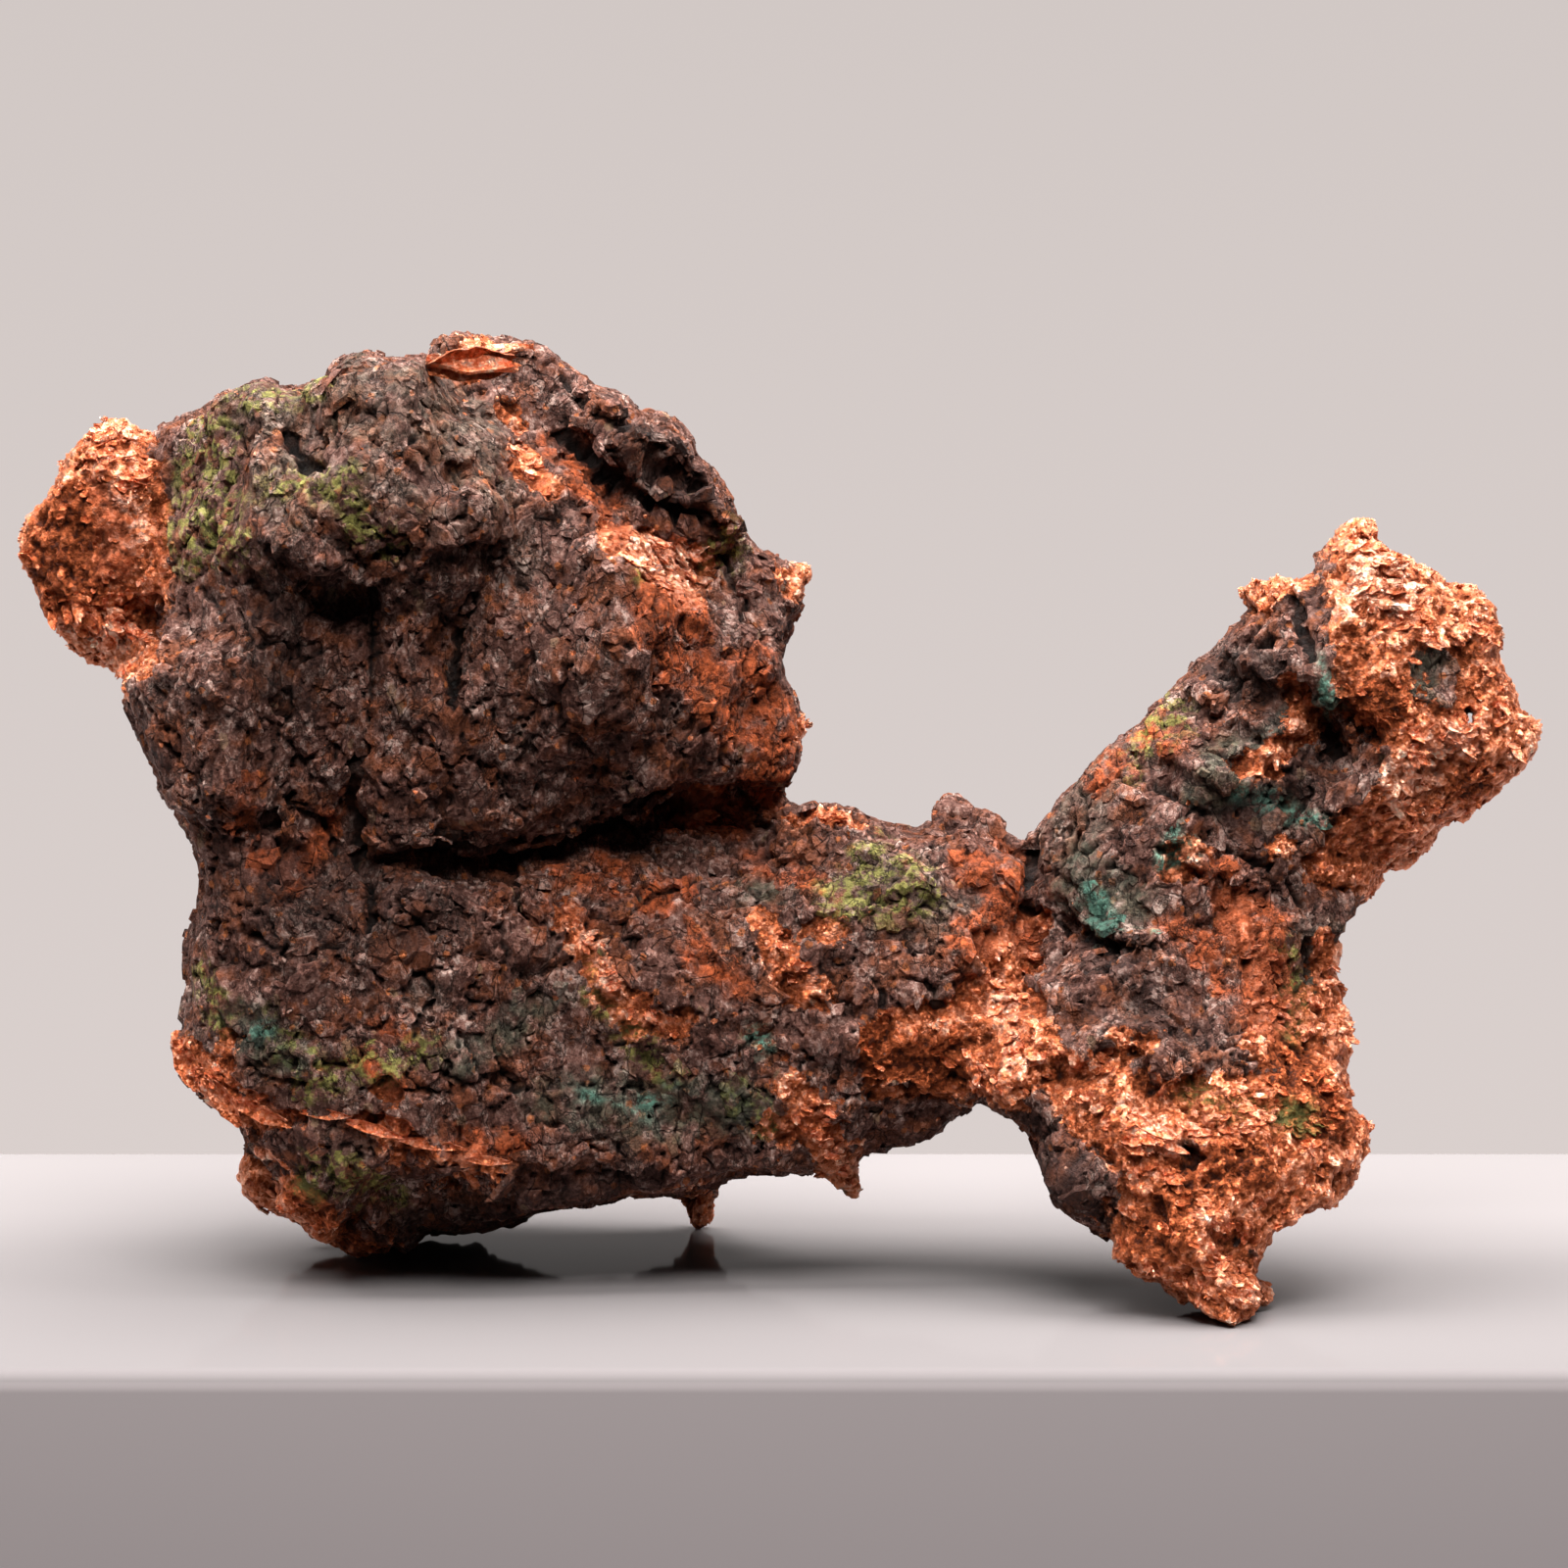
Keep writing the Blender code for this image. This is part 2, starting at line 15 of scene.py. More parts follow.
import bpy
import numpy as np
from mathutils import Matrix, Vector


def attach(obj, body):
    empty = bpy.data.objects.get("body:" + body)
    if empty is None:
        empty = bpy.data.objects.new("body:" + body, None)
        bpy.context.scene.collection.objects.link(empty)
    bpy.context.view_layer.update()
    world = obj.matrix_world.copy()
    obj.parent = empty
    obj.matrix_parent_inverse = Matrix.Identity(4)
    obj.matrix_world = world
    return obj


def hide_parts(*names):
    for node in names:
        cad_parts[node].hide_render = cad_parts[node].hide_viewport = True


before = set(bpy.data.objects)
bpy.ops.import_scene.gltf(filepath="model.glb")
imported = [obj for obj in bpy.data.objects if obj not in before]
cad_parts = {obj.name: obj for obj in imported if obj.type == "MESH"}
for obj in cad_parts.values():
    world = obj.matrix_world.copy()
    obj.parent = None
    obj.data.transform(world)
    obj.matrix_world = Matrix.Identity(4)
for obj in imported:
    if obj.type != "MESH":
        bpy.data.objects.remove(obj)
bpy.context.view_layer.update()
MM = 0.001

# %% [markdown]
# ## The eye
# Places on the nugget's front are drawn as they look from the front, on an upright sheet: X to the right and Z up, in
# millimetres. The same eye is used for the camera and for the drawing, so a patch that is drawn on the sheet lands
# where it is seen. A long lens from 40 cm away keeps the near foot from looking too large.

# %% The eye, the sheet and the camera
DRAWN_ORIGIN = np.array([0.119, -2.74, 0.0])
EYE = np.array([0.0, -400.0, 69.5])
TILT = math.radians(4.22)
SHEET_AWAY = 401.1
SHEET_MIDDLE = 40.0
LENS = 112.8


def drawn(points):
    """Points of a mesh, in metres, as millimetres from the drawing's origin."""
    return points / MM - DRAWN_ORIGIN


def on_sheet(points):
    """Where each drawn point is seen on the sheet, as (X, Z)."""
    away = points - EYE
    depth = away[:, 1] * math.cos(TILT) - away[:, 2] * math.sin(TILT)
    rise = away[:, 1] * math.sin(TILT) + away[:, 2] * math.cos(TILT)
    return np.stack([away[:, 0] / depth * SHEET_AWAY, SHEET_MIDDLE + rise / depth * SHEET_AWAY], axis=1)


def from_sheet(place, depth):
    """The drawn point at this depth (Y) that is seen at this place on the sheet."""
    right, up = place[0], place[1] - SHEET_MIDDLE
    ahead = np.array([right, SHEET_AWAY * math.cos(TILT) + up * math.sin(TILT),
                      up * math.cos(TILT) - SHEET_AWAY * math.sin(TILT)])
    return EYE + ahead * (depth - EYE[1]) / ahead[1]


bpy.ops.object.camera_add(location=(EYE + DRAWN_ORIGIN) * MM, rotation=(math.pi / 2 - TILT, 0, 0))
camera = bpy.context.object
camera.name = "camera"
camera.data.lens = LENS
camera.data.clip_start = 0.01
bpy.context.scene.camera = camera
bpy.context.scene.view_settings.view_transform = "Standard"
print("the camera is at", [round(c, 4) for c in camera.location])

# %% [markdown]
# ## Small helpers
# An operator acts on all that is selected, so each step first selects just what it works on.

# %% Selection, modifiers and copies
def work_on(obj):
    bpy.ops.object.select_all(action="DESELECT")
    obj.select_set(True)
    bpy.context.view_layer.objects.active = obj


def apply_modifiers(obj):
    work_on(obj)
    for modifier in list(obj.modifiers):
        bpy.ops.object.modifier_apply(modifier=modifier.name)


def edit_all(obj, operator, **settings):
    """Runs one edit-mode operator on the whole of the object's mesh."""
    work_on(obj)
    bpy.ops.object.mode_set(mode="EDIT")
    bpy.ops.mesh.select_all(action="SELECT")
    operator(**settings)
    bpy.ops.object.mode_set(mode="OBJECT")


def copy_of(source, name):
    obj = bpy.data.objects.new(name, source.data.copy())
    bpy.context.scene.collection.objects.link(obj)
    obj.data.name = name
    return obj


def copy_of_nugget(name):
    """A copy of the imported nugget, with its loose triangles joined up."""
    obj = copy_of(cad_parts["nugget"], name)
    obj.data.materials.clear()
    edit_all(obj, bpy.ops.mesh.remove_doubles, threshold=1e-6)
    return obj


def remesh(obj, voxel):
    """Gives the object a new, even skin of quads of about this size, in millimetres."""
    modifier = obj.modifiers.new("even skin", "REMESH")
    modifier.mode = "VOXEL"
    modifier.voxel_size = voxel * MM
    apply_modifiers(obj)


def soften(obj, times):
    modifier = obj.modifiers.new("soften", "SMOOTH")
    modifier.factor = 0.5
    modifier.iterations = times
    apply_modifiers(obj)


def read_points(obj, what="co"):
    values = np.empty(len(obj.data.vertices) * 3, np.float32)
    obj.data.vertices.foreach_get(what, values)
    return values.reshape(-1, 3).astype(float)


def set_points(obj, points):
    obj.data.vertices.foreach_set("co", points.astype(np.float32).ravel())
    obj.data.update()


def smoothed(obj, times):
    """Where each point would be, and which way it would face, on a skin smoothed this many times."""
    trial = copy_of(obj, "smoothed")
    soften(trial, times)
    points, directions = read_points(trial), read_points(trial, "normal")
    bpy.data.objects.remove(trial)
    return points, directions


def keep_values(obj, name, values):
    attribute = obj.data.attributes.new(name, "FLOAT", "POINT")
    attribute.data.foreach_set("value", values.astype(np.float32))


# %% [markdown]
# ## Chance, clouds, folds and grains
# Broken rock and crumpled metal are random, but each run has to give the same nugget. So every random number is
# worked out from the place alone: space is cut into cubes, and each cube has its own three numbers. From those come
# soft clouds, sharp folds, and grains, which are the small blocks that a crust breaks into. Each grain has a flat face
# of its own tilt, which no cloud texture gives, and that is why these are written out here.

# %% Random numbers that depend on the place
LOW_20_BITS, LOW_32_BITS = 0xFFFFF, 0xFFFFFFFF


def cell_number(cells, seed):
    """One whole number for each whole-numbered cell."""
    whole = cells.astype(np.int64)
    return (whole[:, 0] * 73856093) ^ (whole[:, 1] * 19349663) ^ (whole[:, 2] * 83492791) ^ (seed * 40503 + 977)


def stirred(numbers):
    """Whole numbers mixed up, so that neighbours have nothing in common."""
    numbers = (numbers & LOW_32_BITS) * 0x2C1B3C6D + 0x1B873593
    return (numbers ^ (numbers >> 15)) & LOW_32_BITS


def lots(cells, seed):
    """Three numbers from 0 to 1 for each cell."""
    mixed = cell_number(cells, seed)
    numbers = np.empty((len(cells), 3))
    for turn in range(3):
        mixed = stirred(mixed)
        numbers[:, turn] = (mixed >> 4 & LOW_20_BITS) / LOW_20_BITS
    return numbers


def one_lot(cells, seed):
    """One number from 0 to 1 for each cell. The clouds need only one, and this is quicker."""
    mixed = stirred(cell_number(cells, seed)) * 0x297A2D39 & LOW_32_BITS
    return ((mixed ^ (mixed >> 13)) & LOW_20_BITS) / LOW_20_BITS


# %% Clouds and folds
CORNERS = list(itertools.product((0, 1), repeat=3))
TURN = np.array([[0.36, 0.48, -0.8], [-0.8, 0.6, 0.0], [0.48, 0.64, 0.6]])


def waves(places, seed):
    """One layer of soft lumps, from -1 to 1."""
    home = np.floor(places)
    part = places - home
    ease = part * part * part * (part * (part * 6 - 15) + 10)
    total = np.zeros(len(places))
    for corner in CORNERS:
        share = np.ones(len(places))
        for axis in range(3):
            share *= ease[:, axis] if corner[axis] else 1 - ease[:, axis]
        total += share * one_lot(home + corner, seed)
    return 2 * total - 1


def cloud(points, size, octaves=4, seed=0):
    """Soft random lumps of about this size, in millimetres, with finer ones on them, from about -1 to 1."""
    total, weight, whole = 0, 1.0, 0
    places = points / size
    for octave in range(octaves):
        total = total + weight * waves(places, seed + octave)
        whole += weight * weight
        weight *= 0.55
        places = places @ TURN * 2.03 + 5.2
    return total / math.sqrt(whole) * 1.3


def wobble(points, size, seeds):
    """A soft random push for each point, with one cloud for each direction."""
    return np.stack([cloud(points, size, 2, seed) for seed in seeds], axis=1)


def folds(points, size, octaves=3, seed=0):
    """Sharp creases, as in crumpled foil: 1 on a crease and near 0 between them."""
    total, weight, whole = 0, 1.0, 0
    places = points / size
    for octave in range(octaves):
        total = total + weight * (1 - np.abs(waves(places, seed + octave)) * 1.6)
        whole += weight
        weight *= 0.6
        places = places @ TURN * 2.1 + 3.7
    return total / whole


# %% Grains
def grains(points, size, seed=0, warp=0.3):
    """The broken face of the grain that each point is on, from about -1 to 1, its distance from the seam between
    grains, in millimetres, and three random numbers of that grain."""
    bent = points / size
    if warp:
        bent = bent + warp * wobble(points, size * 0.8, (seed + 31, seed + 32, seed + 33))
    home = np.floor(bent)
    first = np.full(len(points), 9.0)
    second = first.copy()
    way = np.zeros_like(bent)
    owner = home.copy()
    for step in itertools.product((-1, 0, 1), repeat=3):
        cell = home + step
        offset = bent - cell - lots(cell, seed)
        away = (offset * offset).sum(axis=1)
        nearer = away < first
        second = np.where(nearer, first, np.minimum(second, away))
        first = np.where(nearer, away, first)
        way[nearer] = offset[nearer]
        owner[nearer] = cell[nearer]
    own_lots = lots(owner, seed + 7)
    tilt = 2 * lots(owner, seed + 11) - 1
    face = (2 * own_lots[:, 0] - 1) * 0.6 + (way * tilt).sum(axis=1) * 1.3
    seam = (np.sqrt(second) - np.sqrt(first)) * size
    return face, seam, own_lots


# %% [markdown]
# ## Drawing on the sheet
# A patch is a chain of circles on the sheet, each (X, Z, radius) in millimetres, like beads on a string. A ledge is a
# line with a raised side on its left as it is drawn, where one block of crust overhangs the next.

# %% Chains and ledges
def unit(vectors):
    return vectors / np.linalg.norm(vectors, axis=-1, keepdims=True)


def soft_step(value, low, high):
    t = np.clip((value - low) / (high - low), 0, 1)
    return t * t * (3 - 2 * t)


def depth_in_chain(places, chain):
    """How far inside the chain each place is, in millimetres. Outside it is negative."""
    chain = np.array(chain, float).reshape(-1, 3)
    starts, ends = (chain, chain) if len(chain) == 1 else (chain[:-1], chain[1:])
    deepest = np.full(len(places), -60.0)
    for start, end in zip(starts, ends):
        along = end[:2] - start[:2]
        share = np.clip((places - start[:2]) @ along / max(along @ along, 1e-9), 0, 1)
        away = np.linalg.norm(places - start[:2] - share[:, None] * along, axis=1)
        deepest = np.maximum(deepest, start[2] + share * (end[2] - start[2]) - away)
    return deepest


def depth_in(places, chains):
    return np.max([depth_in_chain(places, chain) for chain in chains], axis=0)


def beside(places, line):
    """How far each place is from the line, positive on its left, and 0 to 1 along the line."""
    line = np.array(line, float)
    near, share_along = np.full(len(places), 60.0), np.zeros(len(places))
    for index, (start, end) in enumerate(zip(line[:-1], line[1:])):
        along, offset = end - start, places - start
        share = np.clip(offset @ along / (along @ along), 0, 1)
        away = np.linalg.norm(offset - share[:, None] * along, axis=1)
        left = np.sign(along[0] * offset[:, 1] - along[1] * offset[:, 0])
        nearer = away < np.abs(near)
        near = np.where(nearer, away * left, near)
        share_along = np.where(nearer, (index + share) / (len(line) - 1), share_along)
    return near, share_along


# %% [markdown]
# ## Where the bare copper is
# The metal is bare on the lug at the far left, in two seams down the front, on the neck between arm and branch, on the
# tip of the branch and on both feet. Some of these run right through, so they show on the back too.

# %% Copper patches
THROUGH_COPPER = [
    [(-55, 68, 3), (-57.5, 62.5, 7), (-58, 57, 7), (-55, 51.5, 4)],
    [(-26.8, 75.6, 0.2), (-24, 75.8, 0.2)],
    [(1.6, 57, 1.6)],
    [(2.0, 44.4, 1.2)],
    [(46.8, 59.2, 2.4), (48.4, 56, 4.0), (49.4, 50, 4.6), (52, 55.4, 4.2), (57, 52.8, 4.6), (51.4, 46.4, 4.6),
     (57.4, 44.8, 5.4), (60, 44.6, 4.4), (54, 40.4, 5.4), (50.4, 36.8, 4.0), (46.8, 33.6, 2.6), (44, 33.2, 1.4)],
    [(37.6, 55.6, 1.2), (40, 56, 1.1), (42, 57, 1.0)],
    [(22.8, 16, 2.2), (26.4, 13.6, 2.6), (30.4, 11.2, 4.0), (35.2, 12, 4.0), (40, 12.8, 3.6), (44.4, 13.6, 4.0),
     (46.6, 11.2, 4.0)],
    [(32, 6.4, 4.4), (36.8, 4.8, 4.4), (41.6, 8, 4.0), (30.4, 1.6, 3.8), (35.2, -0.8, 4.4), (36.8, -3, 4.4),
     (39.2, -1.6, 3.4)],
    [(46.4, 16, 2.8), (46.2, 19.2, 2.2), (46.2, 22.4, 2.0), (45.4, 25.2, 1.8)],
    [(-44.6, 8, 2.0), (-43, 5.4, 2.4), (-39.6, 3.8, 2.4), (-36.8, 2, 2.4), (-34, 0.6, 2.6), (-32, -0.4, 2.2)],
    [(-7.2, 5.4, 1.6), (-7.2, 1.2, 3.4)],
    [(4, 8.6, 1.4), (6, 6.4, 2.6)],
]
FRONT_COPPER = [
    [(-25.6, 73, 0.2)],
    [(-22.4, 70.4, 0.2), (-21.4, 67.4, 0.8), (-20.6, 65.2, 0.3)],
    [(-19.6, 64.4, 0.2)],
    [(-13.4, 59.6, 1.2), (-10.4, 58.6, 2.0), (-7.2, 56.8, 1.6)],
    [(-17.6, 28.8, 0.7), (-16, 26, 1.2), (-14.2, 23.2, 1.8), (-11.6, 21, 1.9), (-9, 20, 1.3)],
    [(-1.2, 28.6, 0.6), (-0.2, 26.2, 1.0), (1.4, 23.8, 1.2), (3.4, 22.4, 0.8)],
    [(2.2, 27.9, 0.6), (4, 27.7, 0.5)],
    [(7.6, 19.6, 1.2), (12.8, 20.2, 2.0), (17.2, 22.6, 2.2), (19, 19.4, 3.0), (18.4, 16.4, 2.6), (13, 17, 2.0),
     (8, 16, 1.4)],
    [(19.6, 25.6, 1.2), (20, 28.8, 0.6)],
    [(0, 15.2, 1.5), (2.4, 12.8, 1.7), (4, 9.6, 1.8), (5.4, 7.2, 1.2)],
    [(-0.8, 12, 1.2), (2.4, 11, 1.2)],
    [(-50.6, 19.4, 1.4), (-49, 16.8, 1.8), (-45.6, 13, 1.8), (-42.4, 12.8, 0.6), (-39.2, 12.6, 0.3)],
    [(-36.8, 12.8, 0.3), (-33.8, 12.2, 0.6), (-32, 11, 0.8), (-29.4, 9.8, 0.8), (-26, 9.0, 0.6), (-22.8, 8.6, 0.4)],
    [(-45.2, 19.2, 0.4), (-45.4, 17.6, 0.5)],
    [(-32.6, 15.2, 0.5), (-31.8, 14.8, 0.4)],
    [(-8, 37.4, 1.0), (-5.6, 37.8, 1.2), (-4, 37.2, 0.8)],
    [(0.2, 38, 0.8), (3.2, 37.8, 0.8), (5.4, 37.4, 0.6)],
    [(32, 34.4, 0.5), (33.2, 34.8, 0.6), (34.8, 34, 0.5)],
    [(32, 33, 0.5), (33.6, 32.6, 0.4)],
    [(40, 34.8, 0.5), (42, 33.8, 0.5), (45, 33.4, 0.7)],
    [(38, 41.8, 0.4), (40, 42.4, 0.5), (41.6, 44.4, 0.4)],
    [(28, 19.2, 0.8), (30, 19.6, 0.6)],
    [(30.8, 24, 0.6), (31.6, 22.8, 0.5)],
    [(23.6, 7, 0.6), (25.6, 5.8, 0.6)],
    [(43, 22, 0.9), (43.6, 18, 1.2)],
    [(24, 14, 0.8), (28, 16.6, 0.8)],
    [(36, 30.8, 0.9), (38.4, 27.2, 1.5), (39.2, 23.2, 1.5), (39.6, 19, 2.2)],
    [(28, 18.8, 1.0), (25.6, 17.2, 1.0)],
    [(41.6, 48, 0.3), (42.4, 44.8, 0.4)],
    [(16.4, 26.8, 0.8), (18.8, 25.4, 1.2)],
]
CRUST_ISLANDS = [
    [(53.2, 49.6, 1.8), (53.4, 47.4, 1.2)],
    [(5, 17.6, 1.3), (5.2, 13.2, 1.1)],
    [(9.6, 13.4, 1.0), (12, 13.8, 1.0), (13.6, 13.4, 0.7)],
    [(33, 9.8, 0.7)],
    [(37, 2.4, 1.1), (38.6, 1.4, 0.8)],
    [(21, 9.6, 1.0), (23.2, 6.6, 2.4), (25.6, 4.4, 1.6)],
    [(30, 19.8, 0.4)],
    [(32.4, 23.6, 3.2), (28, 23.2, 4.2), (34, 21, 2.2)],
    [(28.6, 17, 1.4)],
]
BACK_COPPER = [
    [(-20, 66, 1.4), (-14, 60, 2.4), (-12, 54, 2.0), (-14, 48, 1.0)],
    [(-44, 30, 1.2), (-38, 24, 2.2), (-30, 20, 1.6), (-26, 14, 1.0)],
    [(4, 30, 1.4), (9, 24, 2.2), (14, 20, 2.6)],
    [(34, 34, 1.2), (38, 40, 2.2), (44, 44, 1.6)],
    [(26, 22, 1.6), (32, 26, 1.4)],
]


def toward_eye(points, normals):
    """1 where the skin faces the eye squarely, 0 where it is edge on, and -1 on the back."""
    to_eye = EYE - points
    to_eye /= np.linalg.norm(to_eye, axis=1)[:, None]
    return (normals * to_eye).sum(axis=1)


def facing_eye(points, normals):
    """1 where the skin faces the eye, and 0 where it faces away."""
    return soft_step(toward_eye(points, normals), -0.1, 0.2)


def bare_depth(points, normals):
    """How deep each point is inside bare copper, in millimetres. Under crust it is negative."""
    sheet = on_sheet(points)
    front = facing_eye(points, normals)
    depth = depth_in(sheet, THROUGH_COPPER)
    depth = np.maximum(depth, depth_in(sheet, FRONT_COPPER) - 8 * (1 - front))
    depth = np.maximum(depth, depth_in(points[:, [0, 2]], BACK_COPPER) - 8 * front)
    ragged = 0.45 + 0.8 * cloud(points, 3.4, 3, 3) + 0.5 * cloud(points, 1.2, 2, 5)
    islands = depth_in(sheet, CRUST_ISLANDS) - 8 * (1 - front)
    return np.clip(np.minimum(depth, -islands) + ragged, -6, 6)


# %% [markdown]
# ## Where the colours are
# Red copper oxide, olive and teal crystals, a dark green glaze and pale dust are drawn in the same way. So are the
# places where the copper is dull or shines, and the near-black places: dark crust, and painted shade along the lower
# rims of the trunk and the branch foot.

# %% Patches of colour
PATCHES = {
    "red": [
        [(-55.4, 63.4, 1.2), (-54.4, 60, 1.6), (-54.6, 57, 1.2)],
        [(-18.6, 68.4, 0.8), (-16.4, 65.4, 1.2), (-14.4, 62.4, 1.0), (-13.2, 60.4, 0.8)],
        [(-10.8, 55.6, 2.0), (-9.2, 52.8, 3.2), (-7.0, 49.6, 3.4), (-4.6, 45.0, 1.8)],
        [(-2.4, 50, 1.6), (-0.6, 44.0, 2.4), (-1.6, 39.2, 2.0)],
        [(-14.6, 33.6, 0.9), (-13.4, 31.6, 0.9)],
        [(-10.0, 31.0, 1.3), (-7.6, 31.6, 0.9)],
        [(14.8, 33.4, 1.6), (18.6, 33.0, 1.6)],
        [(-40, 31.4, 0.8), (-36, 38.6, 1.0)],
        [(-42.4, 33, 0.8), (-44.6, 39, 0.8)],
        [(-9, 38, 1.6), (-4.4, 37.2, 1.6)],
        [(17.6, 30.4, 2.0), (20, 27, 1.4)],
        [(28, 45, 1.4), (31, 43, 1.2)],
        [(30, 29, 1.2), (34, 27, 1.6), (36, 24, 1.2)],
        [(-3, 33, 0.8), (2, 32.6, 0.6)],
        [(-17.8, 33, 0.7), (-15.4, 31.4, 0.8)],
        [(-25.6, 10.6, 1.2), (-21, 10.4, 1.5)],
        [(-34, 16.8, 0.9), (-31.6, 15.4, 1.0)],
        [(15.2, 27.2, 2.0), (18.4, 29.6, 2.0), (19.2, 32.8, 1.4)],
        [(36, 32, 1.6), (38.8, 27.2, 2.8), (39.6, 22, 2.4)],
        [(25.6, 40, 1.2), (28.8, 42.8, 1.5), (31.6, 44, 1.0)],
        [(-19, 30.4, 0.9), (-16.4, 29.4, 0.9)],
        [(-7, 26.4, 1.4), (-4, 24, 1.0)],
        [(-33.6, 20.4, 0.8), (-31.2, 19.6, 0.8)],
    ],
    "olive": [
        [(-46.8, 68.8, 2.2), (-47.6, 64, 2.6), (-47.6, 60, 2.6), (-45.2, 59.2, 2.2)],
        [(-41, 64.8, 1.6), (-36, 64, 1.6), (-34.4, 60.8, 1.8), (-32.4, 60, 1.2)],
        [(-44, 71.6, 1.4), (-38, 72.4, 1.4)],
        [(7.2, 33.2, 2.4), (11.2, 31.2, 2.2), (4, 30.4, 1.6)],
        [(-47.6, 24, 1.2), (-46, 20.8, 1.2)],
        [(-42, 20.8, 1.0), (-39, 16, 1.8), (-34, 16.6, 1.4), (-30, 18, 1.2)],
        [(-15.6, 26, 0.8), (-15.2, 21.6, 1.0), (-12, 19, 1.2), (-10, 16, 1.2)],
        [(-12, 56.8, 0.7)],
        [(-4.6, 59, 1.6)],
        [(31.6, 45.6, 1.4), (28, 41, 1.2)],
        [(-38, 8, 2.0), (-32, 7, 1.4)],
        [(41.8, 26.4, 1.0), (42.2, 20, 1.0)],
        [(-3.6, 14, 1.2), (-1, 12, 1.0)],
        [(42.4, 12.6, 1.0), (33.6, 14.4, 0.9)],
    ],
    "teal": [
        [(37.6, 39.4, 0.8), (40, 38.2, 1.4), (43.2, 37.0, 1.0)],
        [(31.2, 34.0, 1.0), (33.6, 35.8, 0.5)],
        [(26.4, 28, 0.9), (25.0, 30.4, 0.8)],
        [(30.4, 28, 0.6)],
        [(44.0, 49.8, 0.4), (44.4, 46, 0.5)],
        [(-2.4, 19.4, 0.7), (-1.6, 18.4, 0.5)],
        [(-16, 14.6, 0.5), (-12.4, 13.8, 0.5), (-9, 14.2, 0.5)],
        [(-43, 19.8, 0.6)],
    ],
    "glaze": [
        [(-20, 14.4, 1.8), (-14, 14, 2.6), (-8, 13, 2.2), (-3.2, 13.6, 1.8)],
        [(-44, 20.4, 1.6), (-41, 17, 1.6)],
        [(-20, 21.6, 1.6), (-26, 17.6, 2.0)],
        [(24.6, 31, 2.0), (29, 30, 2.2), (24, 34, 1.4)],
        [(36.8, 43, 1.6), (34, 39, 1.8), (43, 46, 1.6)],
        [(43.4, 27, 1.6), (43.6, 21, 1.2)],
        [(-2, 31.4, 1.6)],
        [(52.6, 50, 1.6), (52.2, 47, 1.4)],
    ],
    "dust": [
        [(-43, 71, 3.4), (-36, 72, 4.4), (-30, 72, 4.0), (-26, 68, 3.4)],
        [(-34, 62, 4.4), (-29, 61, 2.6)],
        [(-40, 64, 4.0)],
        [(-24, 62, 2.6), (-22, 58, 1.6)],
        [(-22.4, 63.4, 1.6), (-26, 61.6, 1.8), (-29.6, 58, 1.6), (-32, 54, 1.0)],
        [(9, 31, 3.4), (14, 29, 2.6)],
        [(27, 43, 2.2), (24, 38, 2.6), (23, 34, 2.4)],
        [(-16.6, 26.6, 0.5)],
        [(-29, 23, 1.6)],
        [(43.4, 27, 1.2), (43.2, 22, 1.0)],
        [(-38, 14, 1.8), (-34, 9, 2.6)],
    ],
    "dull": [
        [(-58.6, 62, 2.4), (-60, 58, 3.4), (-57.4, 54.6, 2.0)],
        [(8, 18, 2.6), (13, 17, 2.4)],
        [(30, 3, 2.2), (33, 8, 1.6), (38, 9, 2.0)],
        [(44, 12, 2.0), (41, 17, 2.4)],
        [(46, 44, 2.2), (49, 47, 1.8)],
        [(-38, 5, 3.2), (-35, 2.4, 2.4)],
        [(56, 40, 2.0)],
    ],
    # Near black: painted shade along the lower rims of the branch foot and the trunk (first and fifth chains), dark
    # crust in the rest.
    "dark": [
        [(20.4, 11, 1.8), (22.4, 7.6, 2.8), (25.6, 4.4, 2.0)],
        [(-40, 30, 4.4), (-30, 30, 4.0)],
        [(-12, 67, 3.0), (-7, 63, 2.6)],
        [(36, 50, 2.0), (41, 47, 2.4), (43.6, 42, 1.8), (38, 37, 2.2)],
        [(-30, 3, 2.0), (-22, 5.6, 2.0), (-12, 6.6, 1.8)],
        [(-42, 53, 2.8), (-40, 48, 3.0)],
        [(26, 27, 2.0), (30, 21.6, 2.0), (33, 20, 1.4)],
    ],
    "shine": [
        [(-53.6, 63.6, 1.6), (-52.8, 60.6, 1.2)],
        [(-57, 52.6, 2.4), (-54, 50.6, 1.8)],
        [(46.6, 55.8, 2.4), (50.6, 55.6, 2.0)],
        [(-10.4, 58.6, 2.2), (-7.6, 57, 1.6)],
        [(-15.6, 27, 1.0), (-14, 23.6, 1.2)],
        [(17.6, 22.6, 0.8), (18.8, 17, 0.8)],
        [(29, 13.4, 1.0), (31.4, 11.2, 1.0), (33, 9.8, 0.8)],
        [(54, 42, 2.4), (50, 40, 1.6)],
        [(-22.2, 69, 1.0)],
    ],
}


def patch_share(points, normals, chains, reach=0.7):
    """1 inside the patches and 0 outside, fading over reach, with a ragged edge."""
    front = facing_eye(points, normals)
    depth = depth_in(on_sheet(points), chains) + 0.8 * cloud(points, 2.2, 3, 9) - 8 * (1 - front)
    return soft_step(depth, -reach, reach)


# %% [markdown]
# ## Main blocks, ledges and cracks
# The front's larger shapes are put in first, on a coarse skin: the plate on the head that overhangs the front, the
# blocks that have slipped past each other on its right, the crevice under it, and the rim along the trunk's foot.

